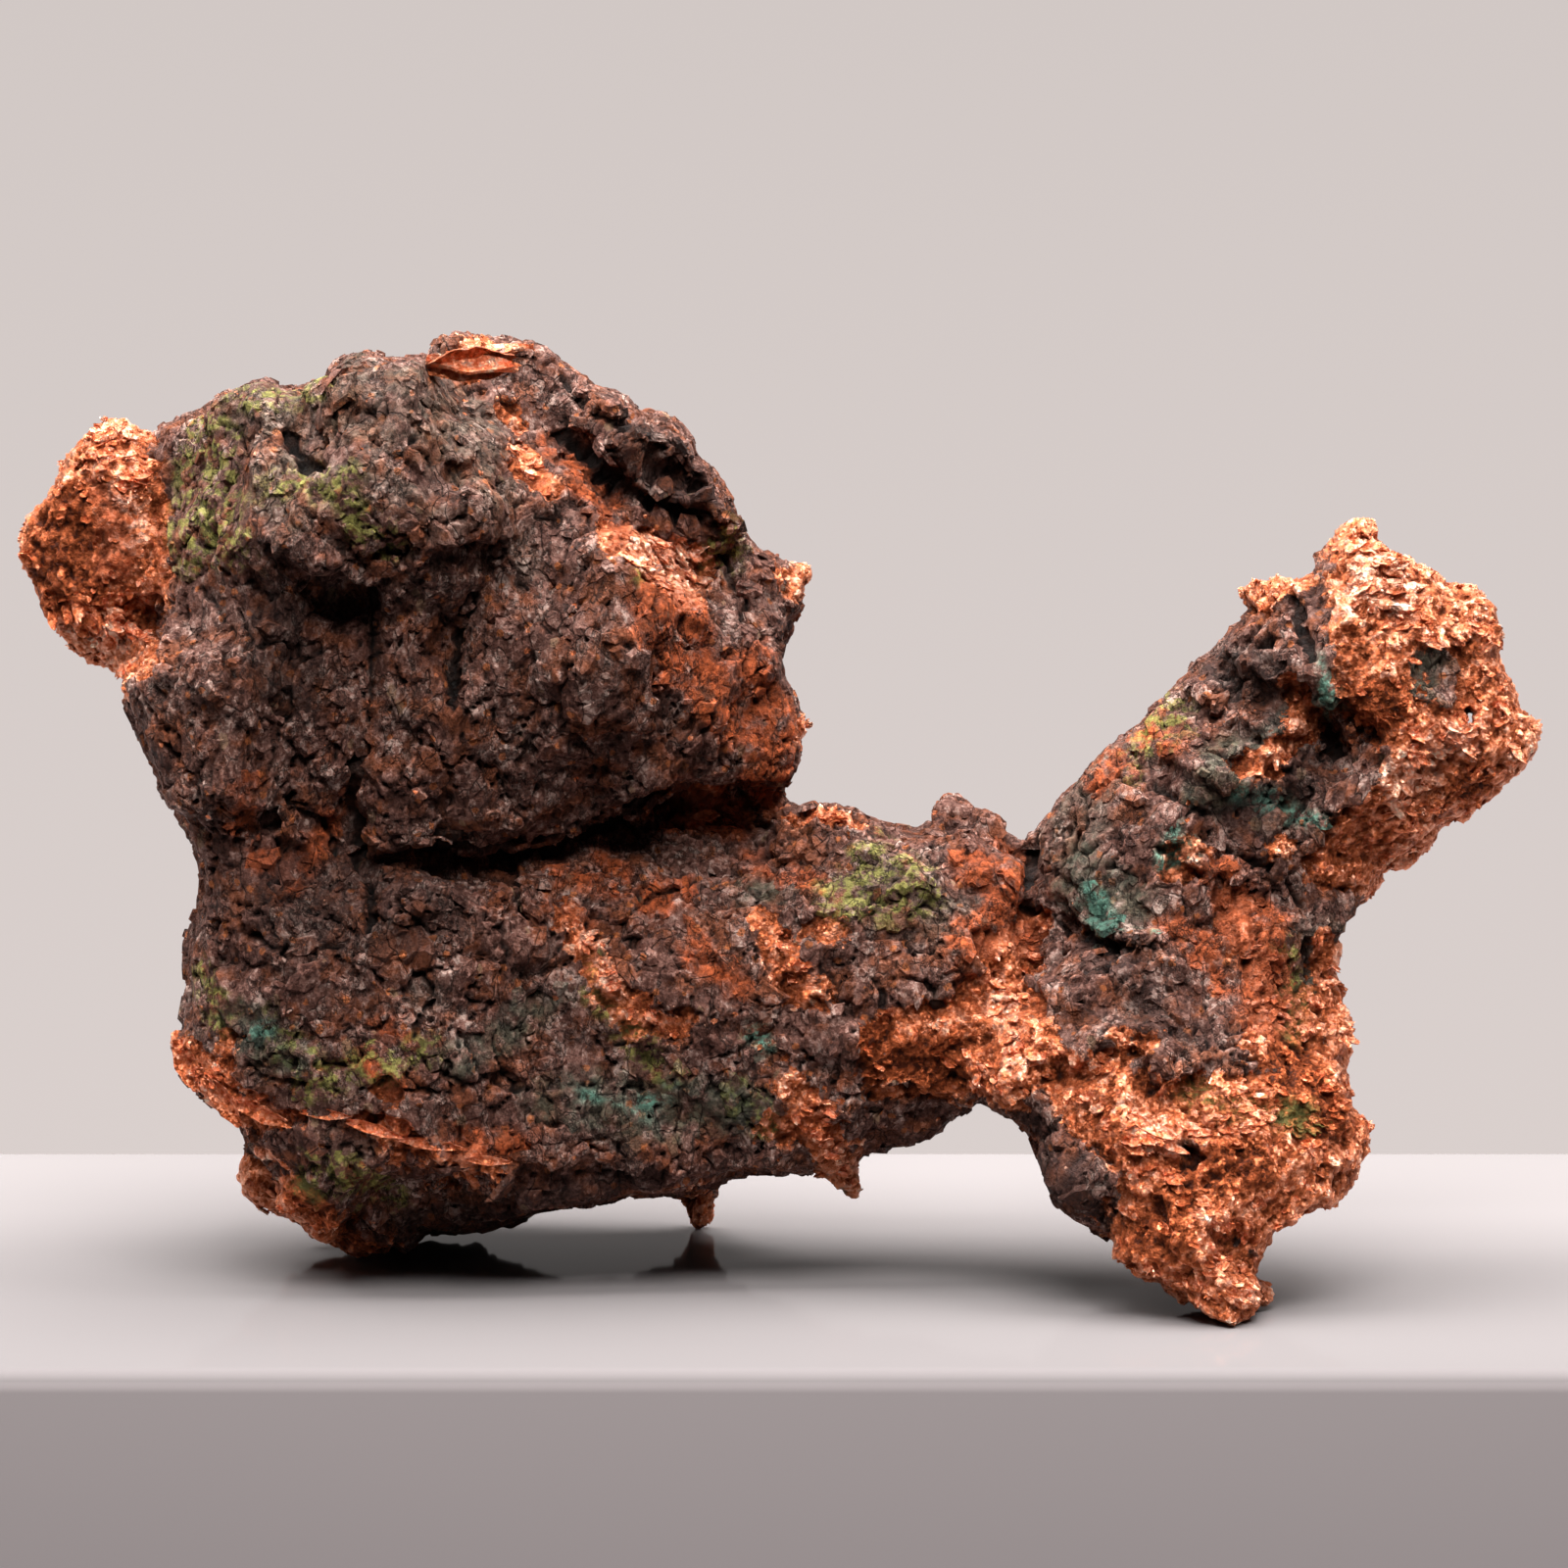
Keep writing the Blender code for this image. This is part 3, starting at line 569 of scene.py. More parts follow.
# %% Ledges: (height, how far the raised side reaches, line)
LEDGES = [
    (2.4, 11.0, [(-43, 60.2), (-41.2, 59), (-38.4, 57.8), (-36, 56.6), (-33.2, 57), (-31.4, 58.2), (-30, 60.2),
                 (-29.3, 62.8), (-28.8, 65.6)]),
    (1.6, 7.0, [(-32.4, 52.8), (-30.6, 56), (-28.4, 59.2), (-25.8, 60.4), (-23.6, 59.2), (-22.4, 56)]),
    (1.2, 6.0, [(-3.8, 59), (-5.2, 60.4), (-8, 62.4), (-11.2, 63.6), (-14, 66.4), (-16.8, 68.8), (-19.2, 71.2)][::-1]),
    (1.4, 5.0, [(-18, 74.8), (-16, 72.2), (-12.8, 70.6), (-8.8, 68.8)]),
    (1.6, 5.0, [(-12.8, 67.6), (-8.8, 65.6), (-6.4, 64), (-3.8, 61.2)]),
    (1.6, 6.0, [(-36.4, 36), (-34.2, 34.6), (-29.6, 34.6), (-23.2, 34.2), (-19.2, 35), (-14.8, 36.2), (-12, 37.8),
                (-8.8, 39), (-5.2, 37.4)]),
    (1.0, 5.0, [(-48, 40), (-44.8, 37.6), (-40.8, 36.8), (-37.6, 34.2)]),
    (0.9, 5.0, [(-25.6, 28.8), (-22.4, 29.6), (-19.2, 32), (-16.8, 34.4)]),
    (0.9, 4.0, [(-32.4, 27.2), (-29.6, 29.6), (-26.4, 29.2), (-24, 27.2)]),
    (0.8, 4.0, [(-40, 24), (-36.4, 25.6), (-33.6, 24), (-32, 21.6)]),
    (0.9, 5.0, [(-21.6, 24), (-18.8, 23.2), (-16.8, 20.8), (-16, 17.6)]),
    (1.3, 5.0, [(-30.4, 9), (-24, 8.3), (-16, 9.1), (-9.6, 8.6), (-3.2, 8.4), (2.8, 8.6)]),
    (1.4, 5.0, [(34.8, 52.8), (37, 48.8), (40, 48), (43.6, 48.8)]),
    (1.3, 5.0, [(32.4, 48), (35.2, 46.4), (39.2, 44.4), (44, 43.2)]),
    (1.0, 4.0, [(30.4, 43.2), (33.2, 40.8), (36.8, 40)]),
    (1.2, 5.0, [(22, 31.6), (24.8, 28.4), (28.8, 26), (31.6, 27.2)]),
    (1.3, 4.5, [(21, 19.2), (23.6, 17.2), (26.4, 18.6), (28.8, 17.8), (30.8, 14.8), (34, 16.8), (37.2, 19.2)]),
    (1.0, 4.0, [(34.8, 33.6), (38.4, 31.6), (42.4, 32)]),
    (1.0, 4.0, [(20.2, 10.4), (22.8, 8), (26.4, 5.2)]),
    (1.0, 5.0, [(7.2, 14.4), (10, 15.6), (13.2, 14), (14.8, 13.2)]),
]

# %% Swellings and dents: (height, chain)
SWELLINGS = [
    (1.6, [(-26.4, 62.4, 2.8), (-29.6, 57.6, 2.2)]),
    (1.1, [(-34.2, 73.2, 2.4), (-31.2, 73.2, 2.3)]),
    (1.2, [(-43.6, 72, 2.1)]),
    (1.0, [(-20.4, 74.2, 1.9), (-18, 73.2, 1.6)]),
    (1.0, [(-12.8, 68.8, 2.1), (-8.8, 68, 1.8)]),
    (1.0, [(-8, 66.4, 1.8), (-5.2, 62.4, 1.9)]),
    (0.9, [(-37.6, 54.4, 3.2)]),
    (-1.0, [(-40, 70, 1.8), (-38.4, 66.4, 1.6)]),
    (-1.2, [(-28.8, 54.4, 2.1), (-27.6, 49.6, 1.8)]),
    (0.8, [(-19.2, 48, 4.8)]),
    (-0.7, [(-12.8, 41.6, 2.4)]),
    (1.0, [(-32, 39.2, 2.1), (-30.4, 36.8, 1.8)]),
    (0.9, [(-28.8, 27.2, 3.5)]),
    (0.8, [(-40, 24, 3.2)]),
    (-0.8, [(-19.2, 23.2, 2.4)]),
    (0.9, [(37.6, 50.8, 1.9)]),
    (1.0, [(34, 43.2, 2.4)]),
    (-1.3, [(43.6, 44.8, 2.1), (45.6, 42, 1.8)]),
    (1.0, [(25.6, 23.2, 2.9), (30.4, 22.4, 2.4)]),
    (0.9, [(48, 56, 2.1)]),
    (-0.8, [(53.2, 49.6, 1.8)]),
    (-1.6, [(37.2, 2, 1.4)]),
    (-1.2, [(33, 9.6, 1.1)]),
    (1.0, [(23.2, 6.8, 1.8)]),
    (0.9, [(14.4, 26, 2.1)]),
    (1.2, [(5, 18.4, 1.4), (5.2, 13.6, 1.4)]),
    (-1.4, [(-52.4, 53.4, 1.2), (-53.4, 53.6, 1.0)]),
]

# %% Where the crust has broken into steep blocks
BLOCKY = [
    [(-19, 74, 2), (-13, 70, 3.4), (-8, 66, 3.4), (-4, 60, 2.6)],
    [(34, 48, 3), (39, 47, 3), (42, 42, 2.6)],
    [(24, 30, 2.4), (30, 27, 2.4)],
]

# %% Cracks
CRACKS = [
    [(-33.5, 56, 0.32), (-33.5, 52, 0.32), (-33.7, 48, 0.24), (-34.2, 44, 0.16)],
    [(-34.2, 43.6, 0.32), (-35.2, 42, 0.32), (-35.5, 39.2, 0.48), (-34.9, 36, 0.64), (-34.6, 34, 0.48)],
    [(-26.4, 52.8, 0.4), (-26.7, 48.8, 0.48), (-27, 46.4, 0.32)],
    [(-26.6, 52, 0.24), (-25.6, 54.4, 0.32), (-24.8, 57.2, 0.24)],
    [(-39, 52.8, 0.16), (-40, 49.6, 0.16), (-40.6, 46.4, 0.16), (-42.4, 40, 0.16)],
    [(-38.6, 40.8, 0.16), (-40, 38.4, 0.24), (-41.2, 36.4, 0.24), (-44.8, 35.2, 0.16)],
    [(-40, 38.4, 0.16), (-37.6, 36.8, 0.24), (-36.4, 34.4, 0.24)],
    [(-34.4, 33.6, 0.24), (-33.6, 30.4, 0.32), (-34, 27.2, 0.24)],
    [(-29.6, 34.4, 0.48), (-26.4, 34.2, 0.4), (-23.2, 34.2, 0.48), (-19.2, 34.9, 0.56), (-15.2, 36, 0.64),
     (-11.2, 38.4, 0.64), (-8, 39, 0.8), (-4.8, 37.9, 0.64)],
    [(-18, 68.8, 0.48), (-16, 66.6, 0.64), (-14.2, 64.8, 0.72), (-11.6, 63.6, 0.64), (-8.8, 62.4, 0.56),
     (-5.2, 60.2, 0.4)],
    [(-16.8, 72, 0.24), (-14.4, 70, 0.4), (-11.2, 68.8, 0.32)],
    [(-19.2, 74.2, 0.24), (-17.2, 72, 0.32), (-16, 70.8, 0.24)],
    [(-11.6, 68.2, 0.24), (-8.8, 66.4, 0.4), (-6.8, 64.8, 0.32)],
    [(-8, 60.8, 0.24), (-4.8, 57.6, 0.32), (-2.4, 52.8, 0.24)],
    [(-19.2, 25.6, 0.16), (-16, 28, 0.24), (-12, 27.2, 0.24), (-8, 24.8, 0.16)],
    [(-12.8, 28.8, 0.16), (-10.4, 30.8, 0.32), (-6.4, 32.8, 0.24), (-3.2, 33.2, 0.16)],
    [(-29.6, 17.6, 0.16), (-26.4, 15.2, 0.24), (-23.2, 16, 0.24), (-19.2, 14.4, 0.16)],
    [(-44, 28, 0.16), (-40, 26, 0.24), (-36, 26.8, 0.16)],
    [(-30.4, 25.6, 0.16), (-28.8, 22.4, 0.24), (-30.4, 19.2, 0.16)],
    [(-22.4, 33.6, 0.16), (-21.6, 29.6, 0.24), (-18.4, 27.2, 0.16)],
    [(3.2, 25.6, 0.32), (4, 23.2, 0.48), (5, 20.8, 0.48)],
    [(7.6, 24, 0.24), (8.4, 20.8, 0.4), (8, 19.2, 0.24)],
    [(11.2, 24, 0.24), (12.4, 21.6, 0.32), (12, 19.2, 0.16)],
    [(41, 56, 0.4), (42, 53.2, 0.64), (42.8, 50.4, 0.4)],
    [(35.6, 50.2, 0.24), (38, 51.2, 0.4), (40, 51.6, 0.32)],
    [(42.4, 46.4, 0.64), (44, 44.4, 0.8), (45.6, 42.4, 0.56)],
    [(34.4, 42.8, 0.24), (37.6, 42, 0.4), (41.6, 40.8, 0.24)],
    [(25.6, 40.8, 0.16), (24.4, 36.8, 0.24), (24, 34.4, 0.16)],
    [(20.2, 35.2, 0.4), (20, 32, 0.4), (19.6, 28.8, 0.24)],
    [(22, 29.6, 0.32), (24.8, 27.2, 0.48), (28.8, 26.8, 0.48), (32, 27.2, 0.24)],
    [(30.4, 40, 0.24), (32, 38.4, 0.32), (35.2, 37.6, 0.16)],
    [(36, 34.4, 0.32), (39.2, 33.6, 0.4), (42.4, 30.4, 0.24)],
    [(42.8, 27.2, 0.24), (43.6, 23.2, 0.32), (44, 20, 0.24)],
    [(44.8, 27.2, 0.24), (44.6, 21.6, 0.4), (44.2, 18.4, 0.24)],
    [(31.6, 10, 0.48), (33.2, 9.6, 0.64), (34.4, 9.8, 0.32)],
    [(35.6, 3.2, 0.64), (37.2, 2, 0.96), (38.4, 0.8, 0.64)],
    [(34.8, 12.8, 0.24), (36.8, 12, 0.32), (38.4, 10.4, 0.16)],
    [(8.4, 14.4, 0.32), (11.2, 15, 0.4), (13.6, 14.4, 0.32)],
    [(-28.8, 72, 0.16), (-30, 68.8, 0.24), (-28.8, 66.4, 0.16)],
    [(-40.8, 68.8, 0.4), (-39.2, 66.4, 0.48), (-37.6, 65.6, 0.32)],
    [(-37.6, 74, 0.24), (-36.4, 71.2, 0.32), (-36.8, 68.8, 0.16)],
    [(-47.6, 56, 0.16), (-45.6, 52.8, 0.24), (-44.8, 48.8, 0.16)],
]

# %% [markdown]
# ## The outline
# The nugget's ragged outline is drawn too, anticlockwise from the top of the lug. Where the skin's rim lies beside
# it, the rim is pulled to it on the sheet. A rim point is one where the skin is seen edge on.

# %% The drawn outline
OUTLINE = np.array([
    (-51.2, 68.4), (-53.2, 68.8), (-54.6, 69.6), (-56, 70.3), (-57.6, 68.2), (-58.8, 66.4), (-59.4, 64.2),
    (-60.2, 62.8), (-61.8, 61.2), (-62.4, 59.6), (-62.2, 58), (-61.2, 56.2), (-60.5, 54.4), (-59.2, 52.8),
    (-58.2, 51.6), (-56.8, 50.2), (-55.2, 49.6), (-53.8, 48.4), (-53.8, 47.2), (-53.2, 45.6), (-52.8, 44.4),
    (-52.8, 43.6), (-52, 42), (-51, 40.4), (-50.8, 39.6), (-50.2, 38.4), (-49.6, 37.4), (-48.6, 36), (-48.2, 34.6),
    (-47.8, 34), (-47.7, 32.8), (-47.4, 31.6), (-47.7, 30.8), (-47.7, 29.6), (-48.6, 27.6), (-48.7, 26.8),
    (-49, 24.8), (-48.6, 23.6), (-48.6, 22.4), (-49.2, 21.2), (-49, 20.4), (-50.2, 20), (-50.2, 18.8), (-49.2, 17.2),
    (-48.6, 16), (-47.2, 14.4), (-45.6, 13.2), (-44.4, 12), (-43.4, 10.8), (-43, 10), (-44, 9.4), (-44.3, 8.4),
    (-44.4, 7.2), (-44, 6.2), (-42.8, 5.4), (-41.2, 5), (-39.6, 4.4), (-39.2, 3.4), (-37.2, 3), (-36.4, 2.2),
    (-36, 1.4), (-34, 1.3), (-32, 1.8), (-31.6, 2.2), (-30, 2.8), (-28.8, 3.4), (-26, 3.4), (-24, 3.8), (-22.4, 4.2),
    (-20.4, 5.2), (-18.8, 5.6), (-16, 5.8), (-13.6, 6.2), (-12, 6.6), (-8.8, 6.8), (-8.6, 6.8), (-8.6, 6),
    (-8.2, 4.8), (-7.6, 3.8), (-7.2, 3.8), (-6.6, 4.4), (-6.2, 5), (-5.4, 5.1), (-5.4, 5.8), (-5.8, 6), (-6, 6.8),
    (-5.8, 7.6), (-4.8, 8.2), (-2.8, 8.4), (2.8, 8.4), (4, 7.6), (4.8, 6.8), (5.8, 6.2), (6.2, 6.8), (6.4, 7.8),
    (6.1, 8.8), (6.1, 10.4), (7.2, 10.6), (10, 10.3), (11.2, 10.8), (12.4, 11.4), (13.2, 12.4), (14.8, 13.6),
    (16.2, 14.7), (17.4, 13.6), (18.8, 12.8), (19.4, 12.4), (20.2, 11.2), (20.6, 10), (21, 8.8), (21.6, 7.2),
    (22.2, 6), (22.8, 4.8), (23.6, 4.3), (25.2, 4), (25.8, 3.2), (27.2, 2.8), (27.4, 0.8), (27.4, 0), (28, -0.6),
    (30.4, -0.6), (31.2, -1.4), (31.8, -1.4), (32.4, -2), (33, -2.8), (33.2, -3.6), (35.2, -4), (38, -4),
    (39.2, -2.8), (39.8, -1.6), (40, -0.8), (39.6, -0.4), (38.4, -0.4), (38.8, 0.8), (39.8, 2.4), (39.8, 3.6),
    (41.2, 4), (42.2, 4.4), (42, 5), (43.2, 5.6), (44.8, 5.8), (46.2, 6.4), (46.8, 7.6), (46.6, 8.6), (46, 9.2),
    (47.6, 10.4), (48, 12.4), (47.4, 13.2), (46.8, 14), (46.6, 15.2), (46, 16.8), (45.6, 17.6), (46.2, 18.8),
    (46.6, 20), (46, 20.8), (45.6, 21.6), (46.2, 22.8), (46, 23.2), (44.8, 24), (44.6, 24.4), (45.2, 26.4),
    (45, 27.6), (45.2, 28.2), (46, 29.2), (46.8, 30), (48, 31), (48.6, 32), (48.4, 32.8), (49.2, 33.4), (50.8, 33.2),
    (51.6, 34), (52.8, 34.8), (53.2, 35.6), (54, 36.8), (56, 37.6), (57.2, 39.2), (59.2, 40.4), (60, 41.2),
    (60.8, 42.4), (61.6, 43.6), (61.6, 44.4), (61.2, 45.6), (59.6, 46.2), (59.4, 48), (58.8, 48.8), (58.2, 50.2),
    (58.6, 51.6), (58.2, 52.8), (57.6, 54.4), (56.4, 56), (55.6, 56.8), (54.4, 56.4), (54, 56), (52.4, 57.6),
    (51.2, 58.4), (49.6, 59.2), (48.6, 60), (48.4, 61.2), (46.8, 61.6), (45.6, 61.2), (45, 60), (44, 58.6),
    (43.2, 57.6), (41.6, 56.8), (40.6, 57), (39.6, 56), (38.4, 56.4), (37, 56), (37, 54.8), (38, 54.6), (38, 53.8),
    (36.4, 52.4), (35.2, 51.2), (33.8, 50.2), (32.8, 48.8), (32, 48), (31.2, 47), (30, 46.2), (29.2, 44.8),
    (27.6, 44), (25.8, 42.2), (24.8, 40.8), (24, 40), (22.6, 38.6), (22.4, 37.8), (20.8, 36.4), (20.2, 35.6),
    (20.2, 34), (19.6, 33.9), (18.4, 34.2), (18.2, 35.2), (17.8, 37.2), (16.8, 37.8), (15.6, 37.6), (14.8, 37.4),
    (14.4, 38.8), (13.4, 39.2), (12.6, 38.4), (12.2, 36.4), (11.6, 36.2), (9.6, 36.4), (8, 36.8), (6.8, 37),
    (6, 37.8), (4.8, 38.2), (3.2, 38.2), (1.6, 38), (0, 38.4), (-0.2, 39), (0, 40), (0.6, 41.2), (1, 43), (1.6, 44),
    (2.3, 44.4), (2, 45), (1, 46.2), (0.6, 47.6), (0, 48.8), (-0.4, 50.8), (0, 52), (0.2, 53.6), (1, 54), (1.8, 56),
    (2.2, 57.4), (1.2, 57.8), (0, 57.8), (-0.8, 58.2), (-2, 59), (-3, 60), (-3.8, 61.2), (-4.2, 62.4), (-4.8, 63.6),
    (-5.8, 64.8), (-6.1, 66), (-7.1, 66.8), (-7.3, 68.2), (-8.4, 69.6), (-10, 70.6), (-11, 70.3), (-12, 70.4),
    (-12.8, 71.7), (-14, 71.8), (-15.6, 72.2), (-17, 73.2), (-18.4, 74.7), (-20, 75.8), (-21.8, 76.1), (-22.4, 76.4),
    (-26.8, 76.6), (-28.6, 76.2), (-28.8, 74.7), (-30.8, 74.7), (-32.4, 74.6), (-33.6, 75.2), (-35.6, 75),
    (-36.6, 74.4), (-37.4, 73), (-39.2, 72.4), (-40.8, 72.2), (-41.8, 72.8), (-42.8, 73.2), (-44.4, 72.3),
    (-46, 71.6), (-47.6, 70.4), (-49.6, 69.6)
])


def pull_to_outline(points, normals):
    """The points, with the rim moved on to the drawn outline. The soles of the feet stay where they are."""
    sheet = on_sheet(points)
    nearest, inside = np.full(len(sheet), 99.0), np.zeros(len(sheet), bool)
    way = np.zeros_like(sheet)
    for start, end in zip(OUTLINE, np.roll(OUTLINE, -1, axis=0)):
        along = end - start
        share = np.clip((sheet - start) @ along / (along @ along), 0, 1)
        offset = start + share[:, None] * along - sheet
        away = np.linalg.norm(offset, axis=1)
        nearer = away < nearest
        nearest = np.where(nearer, away, nearest)
        way[nearer] = offset[nearer]
        if start[1] != end[1]:
            crossing = start[0] + (sheet[:, 1] - start[1]) / along[1] * along[0]
            inside ^= ((start[1] > sheet[:, 1]) != (end[1] > sheet[:, 1])) & (sheet[:, 0] < crossing)
    outward = (normals[:, [0, 2]] * way).sum(axis=1) / np.maximum(nearest, 1e-6)
    edge_on = 1 - soft_step(np.abs(toward_eye(points, normals)), 0.15, 0.75)
    grow = edge_on * soft_step(outward, 0.1, 0.6) * (1 - soft_step(nearest, 3.0, 5.0))
    share = np.where(inside, grow, 1.0) * soft_step(points[:, 2], 0.5, 2.4)
    move = way * share[:, None]
    scale = (points[:, 1] - EYE[1]) / SHEET_AWAY
    out = points.copy()
    out[:, 0] += move[:, 0] * scale
    out[:, 1] += move[:, 1] * scale * math.sin(TILT)
    out[:, 2] += move[:, 1] * scale * math.cos(TILT)
    return out


# %% [markdown]
# Small knobs of metal stand out at the rims: a hook on the branch, two on the head's right rim, the stub and the spur
# under the arm. Each is a few balls in a row, which a voxel remesh fuses with the rest. A row that gives no depth of
# its own takes that of the rim beside it. The first three rows fill out the head's right shoulder.

# %% Knobs: the row's depth (Y) or None, and its balls on the sheet, each (X, Z, radius)
KNOBS = [
    (-7.6, [(-13.8, 64.0, 2.4), (-12.0, 62.9, 2.6)]),
    (-6.2, [(-10.8, 62.4, 2.6), (-9.0, 61.2, 2.4)]),
    (-4.4, [(-7.6, 60.9, 2.4), (-5.6, 60.2, 2.2)]),
    (None, [(38.6, 54.6, 1.0), (37.2, 55.4, 0.9), (37.8, 56.6, 0.8), (40.4, 56.2, 0.9), (41.6, 56.2, 1.2)]),
    (None, [(-0.6, 56.6, 1.6), (0.8, 57.4, 1.0), (1.8, 57.8, 0.7)]),
    (None, [(0.6, 56.4, 1.0), (1.4, 54.6, 0.8)]),
    (None, [(0.0, 44.8, 1.4), (1.4, 44.6, 0.9), (2.3, 45.0, 0.6)]),
    (20.2, [(-7.6, 7.6, 1.6), (-7.4, 6.4, 1.3), (-6.9, 4.6, 1.4), (-7.2, 3.9, 1.0)]),
    (20.0, [(-6.4, 5.4, 0.9), (-5.5, 5.4, 0.6)]),
    (-4.0, [(3.2, 10.2, 1.8), (4.6, 8.2, 1.3), (5.7, 6.9, 0.9), (5.9, 6.5, 0.6)]),
    (None, [(36.4, -1.6, 1.4), (38.4, -2.2, 1.2), (39.0, -1.2, 0.9)]),
    (None, [(-55.2, 68.6, 1.2), (-56.0, 69.8, 0.7)]),
    (None, [(46.2, 59.6, 1.8), (47.4, 60.8, 1.0)]),
    (None, [(54.4, 55.8, 1.2), (55.4, 56.4, 0.8)]),
    (None, [(60.4, 43.8, 1.4), (61.2, 44.6, 0.8)]),
    (None, [(58.0, 50.6, 1.2), (58.6, 49.4, 0.9)]),
    (None, [(45.2, 24.2, 1.2), (46.0, 23.0, 0.9)]),
    (None, [(46.2, 20.2, 1.1), (46.6, 19.4, 0.8)]),
    (None, [(46.6, 12.8, 1.4), (47.4, 11.8, 0.9)]),
    (None, [(12.8, 37.6, 1.2), (13.4, 38.8, 0.7)]),
    (None, [(16.4, 36.9, 1.4), (17.6, 37.4, 0.9)]),
    (None, [(-44.0, 8.8, 1.3), (-44.6, 9.8, 0.7)]),
    (None, [(-49.6, 19.4, 1.2), (-50.4, 20.4, 0.6)]),
]


def add_knobs(obj):
    """Joins the knobs' balls to the object. The next remesh fuses them."""
    points, normals = drawn(read_points(obj)), smoothed(obj, 4)[1]
    rim = points[np.abs(toward_eye(points, normals)) < 0.45]
    rim_sheet = on_sheet(rim)
    balls = []
    for depth, row in KNOBS:
        if depth is None:
            away = np.linalg.norm(rim_sheet - np.array(row[0][:2]), axis=1)
            depth = float(np.median(rim[np.argsort(away, kind="stable")[:12], 1]))
        for start, end in zip(row[:-1], row[1:]):
            for share in (0, 0.25, 0.5, 0.75, 1):
                x, z, radius = np.array(start) * (1 - share) + np.array(end) * share
                bpy.ops.object.select_all(action="DESELECT")
                bpy.ops.mesh.primitive_ico_sphere_add(subdivisions=2, radius=radius * MM,
                                                      location=(from_sheet((x, z), depth) + DRAWN_ORIGIN) * MM)
                balls.append(bpy.context.object)
    bpy.ops.object.select_all(action="DESELECT")
    for ball in balls:
        ball.select_set(True)
    obj.select_set(True)
    bpy.context.view_layer.objects.active = obj
    bpy.ops.object.join()
    print(len(balls), "balls joined")


def keep_largest(obj):
    """Removes every loose crumb, so that one whole body is left."""
    edit_all(obj, bpy.ops.mesh.separate, type="LOOSE")
    bodies = sorted(bpy.context.selected_objects, key=lambda body: -len(body.data.vertices))
    for crumb in bodies[1:]:
        bpy.data.objects.remove(crumb)
    print("crumbs removed:", len(bodies) - 1)
    return bodies[0]


# %% The coarse skin takes the main shapes
FACETLESS_SKIN = 0.9
COARSE_SKIN = 0.5
skin = copy_of_nugget("skin")
remesh(skin, FACETLESS_SKIN)
soften(skin, 4)
add_knobs(skin)
remesh(skin, COARSE_SKIN)
skin = keep_largest(skin)
soften(skin, 2)


def shape_blocks(points, normals):
    """How far the main blocks, ledges and swellings move each point out, in millimetres."""
    sheet = on_sheet(points) + 0.5 * wobble(points, 2.5, (41, 42))
    front = facing_eye(points, normals)
    crusted = 1 - soft_step(bare_depth(points, normals), -0.6, 0.6)
    blocky = soft_step(depth_in(sheet, BLOCKY), -1.5, 1.5) * front
    out = np.zeros(len(points))
    for height, reach, line in LEDGES:
        side, share = beside(sheet, line)
        taper = soft_step(np.minimum(share, 1 - share), 0, 0.16)
        raised = np.clip(1 - side / reach, 0, 1) ** 1.6 * soft_step(side, -0.15, 0.15)
        dropped = 0.45 * np.exp(np.minimum(side, 0) / 1.3) * (1 - soft_step(side, -0.15, 0.15))
        out += front * taper * height * (raised - dropped)
    for height, chain in SWELLINGS:
        radius = max(bead[2] for bead in chain)
        out += front * height * soft_step(depth_in_chain(sheet, chain), -0.9 * radius, 0.9 * radius)
    crack = depth_in(sheet, CRACKS) + 0.25 * cloud(points, 1.4, 2, 43)
    blocks, seam, lot = grains(points, 6.5, 50, 0.2)
    out += (0.3 + 0.7 * crusted) * (0.38 * blocks - (lot[:, 1] > 0.55) * 0.5 * np.exp(-seam / 0.3))
    steps, seam, lot = grains(points, 4.2, 55, 0.15)
    out += blocky * (0.9 * steps - 0.6 * np.exp(-seam / 0.22))
    out += 0.5 * cloud(points, 9.0, 3, 60)
    rim = soft_step(np.abs(toward_eye(points, normals)), 0.05, 0.55)
    out = np.where(out > 0, out * (0.35 + 0.65 * rim), out) - 0.35
    return out - front * 0.7 * soft_step(crack, -0.35, 0.3)


points, normals = drawn(read_points(skin)), smoothed(skin, 6)[1]
moved = shape_blocks(points, normals)
points = pull_to_outline(points + normals * moved[:, None], normals)
points[:, 2] = np.maximum(points[:, 2], 0.0)
set_points(skin, (points + DRAWN_ORIGIN) * MM)
soften(skin, 1)
print("coarse skin", len(points), "points, moved by", round(float(moved.min()), 2), "to", round(float(moved.max()), 2))

# %% [markdown]
# ## Fine relief
# A fresh, finer skin then takes the small grains, chips and cracks of the crust, and the crumples of the metal. The
# crust ends in a broken step where the copper comes out from under it.

# %% A hole right through the tip
def pierce(obj, place, back_radius, front_radius):
    """Cuts a narrow hole through the object, along the line of sight at this place on the sheet."""
    front, back = from_sheet(place, -50.0), from_sheet(place, 50.0)
    way = Vector(front - back)
    bpy.ops.object.select_all(action="DESELECT")
    bpy.ops.mesh.primitive_cone_add(vertices=9, radius1=back_radius * MM, radius2=front_radius * MM,
                                    depth=way.length * MM, location=((front + back) / 2 + DRAWN_ORIGIN) * MM,
                                    rotation=way.to_track_quat("Z", "Y").to_euler())
    cutter = bpy.context.object
    hole = obj.modifiers.new("hole", "BOOLEAN")
    hole.operation = "DIFFERENCE"
    hole.solver = "MANIFOLD"
    hole.object = cutter
    before = len(obj.data.vertices)
    apply_modifiers(obj)
    obj.data.materials.clear()
    bpy.data.objects.remove(cutter)
    print("hole cut,", len(obj.data.vertices) - before, "points more")


HOLE = {"place": (55.9, 45.3), "back_radius": 0.8, "front_radius": 1.0}
pierce(skin, **HOLE)

